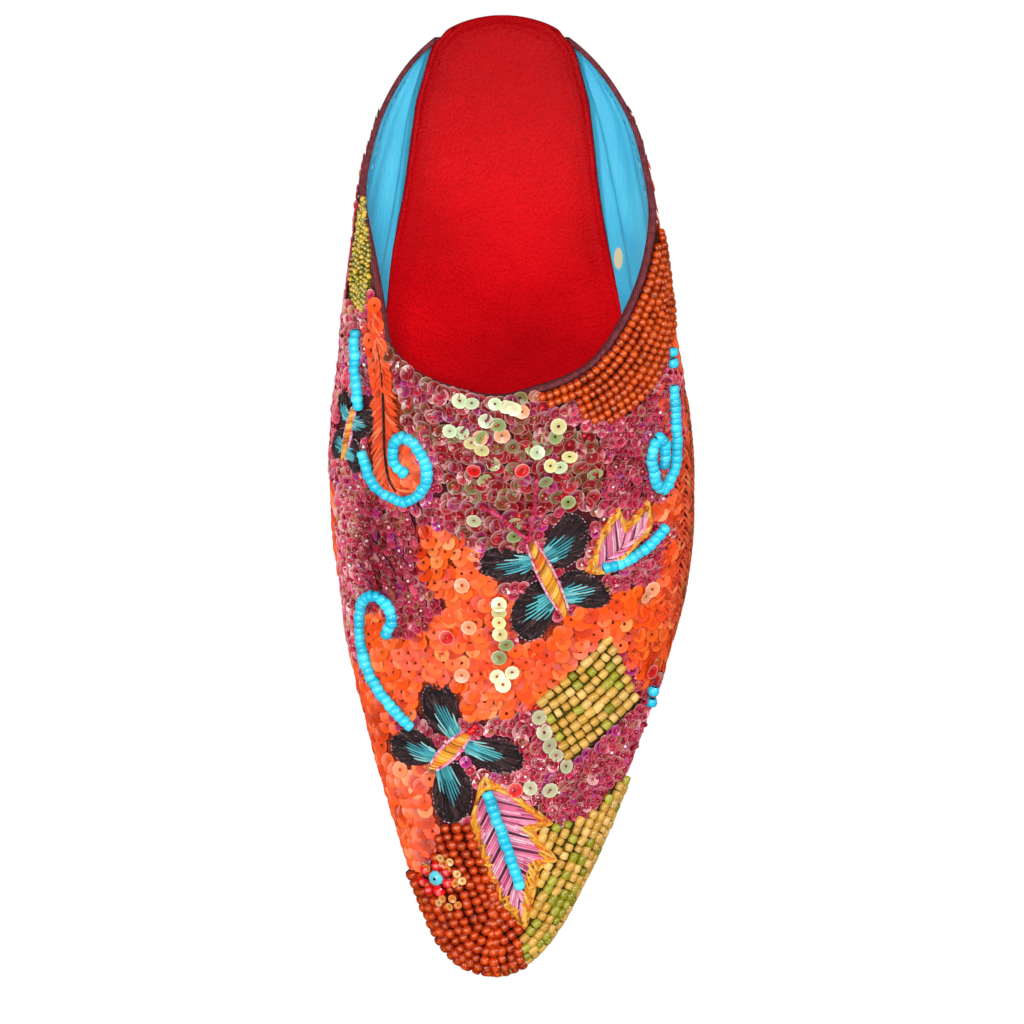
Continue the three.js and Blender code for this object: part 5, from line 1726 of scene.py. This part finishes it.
# The feather's barbs slant back from its middle line on both sides and lengthen away from its upper end.
def feather():
    b = featherBuild
    line = featherLine(b["pitch"])
    ahead = unit(np.gradient(line, axis=0))
    grown = eased(np.arange(len(line)), b["wideFrom"], b["wideOver"])
    wide = (b["narrow"] + (1 - b["narrow"]) * grown)[:, None]
    groups = []
    for way in (-1, 1):
        across = np.stack([-ahead[:, 1], ahead[:, 0]], -1) * way
        ends = line + across * b["barb"] * wide * rng.normal(1, 0.12, wide.shape)
        ends = ends + ahead * b["back"] * rng.normal(1, 0.15, wide.shape)
        groups.append(("barb", line + across * 0.25, ends))
    groups.append(("quill", line[b["quillFrom"]:-2], line[b["quillFrom"] + 2:]))
    stitchPiece("featherStitches", groups)


# A drawing on the unrolled outer wall: height up the wall and station.
def onOuterWall(drawing):
    return np.ones(drawing.shape[:-1], int), drawing[..., 1], drawing[..., 0] / weaveBuild["wallHeight"]


def sideWeave():
    b = weaveBuild
    groups = []
    for v in np.linspace(b["low"], b["high"], b["rows"]):
        start, end = weaveSpan(v)
        first, final = start + rng.uniform(*b["raggedStart"]), end + rng.uniform(*b["raggedEnd"])
        at = np.arange(first, final, b["pitch"])
        at = at + rng.normal(0, b["jitter"], len(at))
        place = np.stack([v * b["wallHeight"] + rng.normal(0, b["jitter"], len(at)), at], -1)
        ease = smoothShare((end - at) / b["easeAhead"]) * eased(at, start, b["easeBehind"])
        lift = (b["lift"] * ease - b["sunk"])[:, None]
        kind = "coralChain" if v > b["coralAbove"] else "rustChain"
        for way in (-1, 1):
            move = np.array([way * b["spread"], b["stitch"]]) * rng.normal(1, b["uneven"], (len(at), 1))
            groups.append((kind, place, place + move, lift))
    stitchPiece("sideWeave", groups, (), onOuterWall)


# A row of stitches on the lining, a little below the edge of the foot opening.
seamBuild = {"below": 4.4, "pitch": 2.0, "stitch": 1.35, "radius": 0.17, "proud": 0.1, "fromEnd": 6,
             "palette": [("#3E9EC0", 2), ("#7CC6DC", 1)]}


def liningSeam():
    b = seamBuild
    side, at, rise, _, _, out = rimPath(300, wallEnd + b["fromEnd"])
    rowAt, rowV = slideOver(side, at, rise, -out * b["below"])
    depth = wallAt(rowAt) + creaseLift(side, rowAt, rowV / collarRise(side, rowAt)) + b["proud"]
    points = onSurface(side, rowAt, rowV, -depth)
    normals = -surfaceNormal(side, rowAt, rowV)
    length = runLength(points)
    where = np.arange(0, length[-1] - b["pitch"], b["pitch"])[:, None] + b["stitch"] * np.linspace(0, 1, 4)
    paths, ups = (readAlong(where, length, values) for values in (points, normals))
    skin, faces, uv, each = threadTubes(paths, ups, b["radius"])
    tint = np.repeat(pick(b["palette"], len(where)), each, 0)
    meshPiece("liningStitches", skin, faces, cottonThread, (), tint, uv)


# The butterfly's two feelers: twisted cords, each of two loose layers.
feelerRoutes = [
    [(317, 539), (300, 525), (286, 513), (272, 506)],
    [(317, 539), (320, 515), (323, 495), (325, 478)],
]


def feelerCords():
    groups = []
    for route in feelerRoutes:
        line = planRoute(route, 8)
        for kind in ("feeler", "feelerTop"):
            shifted = line + rng.normal(0, 0.2, line.shape)
            groups.append((kind, shifted[:-1], shifted[1:]))
    stitchPiece("feelers", groups)


def threadWork():
    drawn = {key: (planOf(w["body"]), [planOf(p) for p in w["wings"]]) for key, w in wings.items()}
    butterfly("butterflyMiddle", *drawn["middle"], ("butterfly_middle",))
    butterfly("butterflyFront", *drawn["front"], ("butterfly_front",))
    body, outlinesOfWings = drawn["middle"]
    centre = body.mean(0)
    turned = [turnedDrawing(w, centre) for w in outlinesOfWings]
    butterfly("butterflySide", turnedDrawing(body, centre), turned, (), onInnerSide, sideButterfly["raised"])
    leaf("leafToe")
    leaf("leafSide")
    feelerCords()
    feather()
    sideWeave()
    liningSeam()


sequinFields()
print("sequins sewn")
beadWork()
print("beads strung")
threadWork()
print("threads stitched")

# Floor, lights and a camera straight above, at the photograph's scale. Each lamp: place, size and power.
stageBuild = {
    "floor": "#FFFFFF", "floorHalf": 30, "floorDrop": 0.0004, "world": 0.05, "distance": 12.0,
    "height": 0.03, "photoPixels": 1024, "sensor": 36, "farthest": 40, "lamps": {
        "topLamp": ((-0.15, 0.25, 2.7), 0.7, 43.0), "keyLamp": ((-1.3, -0.45, 1.4), 0.8, 17.0),
        "fillLamp": ((1.3, 0.25, 1.3), 0.8, 16.0), "frontLamp": ((0.05, -1.3, 1.65), 0.6, 9.0)}}


def studio():
    b = stageBuild
    half, low = b["floorHalf"], -b["floorDrop"]
    mesh = bpy.data.meshes.new("floor")
    corners = [(-half, -half, low), (half, -half, low), (half, half, low), (-half, half, low)]
    mesh.from_pydata(corners, [], [(0, 1, 2, 3)])
    # A lit table: it gives the white ground and no reflection in the beads.
    mesh.materials.append(newMaterial("lightTableMatt", {
        "Base Color": paint("#101010"), "Roughness": 0.9, "Specular IOR Level": 0.0,
        "Emission Color": paint(b["floor"]), "Emission Strength": 1.0})[0])
    floor = addToScene("floor", mesh)
    floor.visible_glossy = False
    for name, (place, size, power) in b["lamps"].items():
        data = bpy.data.lights.new(name, "AREA")
        data.shape = "DISK"
        data.size = size
        data.energy = power
        lamp = addToScene(name, data)
        lamp.location = place
        x, y, up = place[0], place[1], place[2] - b["height"]
        lamp.rotation_euler = (math.atan2(math.hypot(x, y), up), 0, math.atan2(x, -y))
    world = bpy.data.worlds.new("studioWhite")
    world.use_nodes = True
    background = world.node_tree.nodes["Background"]
    background.inputs["Color"].default_value = (1, 1, 1, 1)
    background.inputs["Strength"].default_value = b["world"]
    bpy.context.scene.world = world
    lens = bpy.data.cameras.new("aboveCamera")
    lens.sensor_width = b["sensor"]
    lens.lens = b["sensor"] * b["distance"] / (b["photoPixels"] * pixel / 1000)
    lens.clip_end = b["farthest"]
    camera = addToScene("aboveCamera", lens)
    centre = (middle - (b["photoPixels"] / 2 - pixelHeel) * pixel) / 1000
    camera.location = (0, centre, b["distance"] + b["height"])
    bpy.context.scene.camera = camera
    bpy.context.scene.view_settings.view_transform = "Standard"


studio()
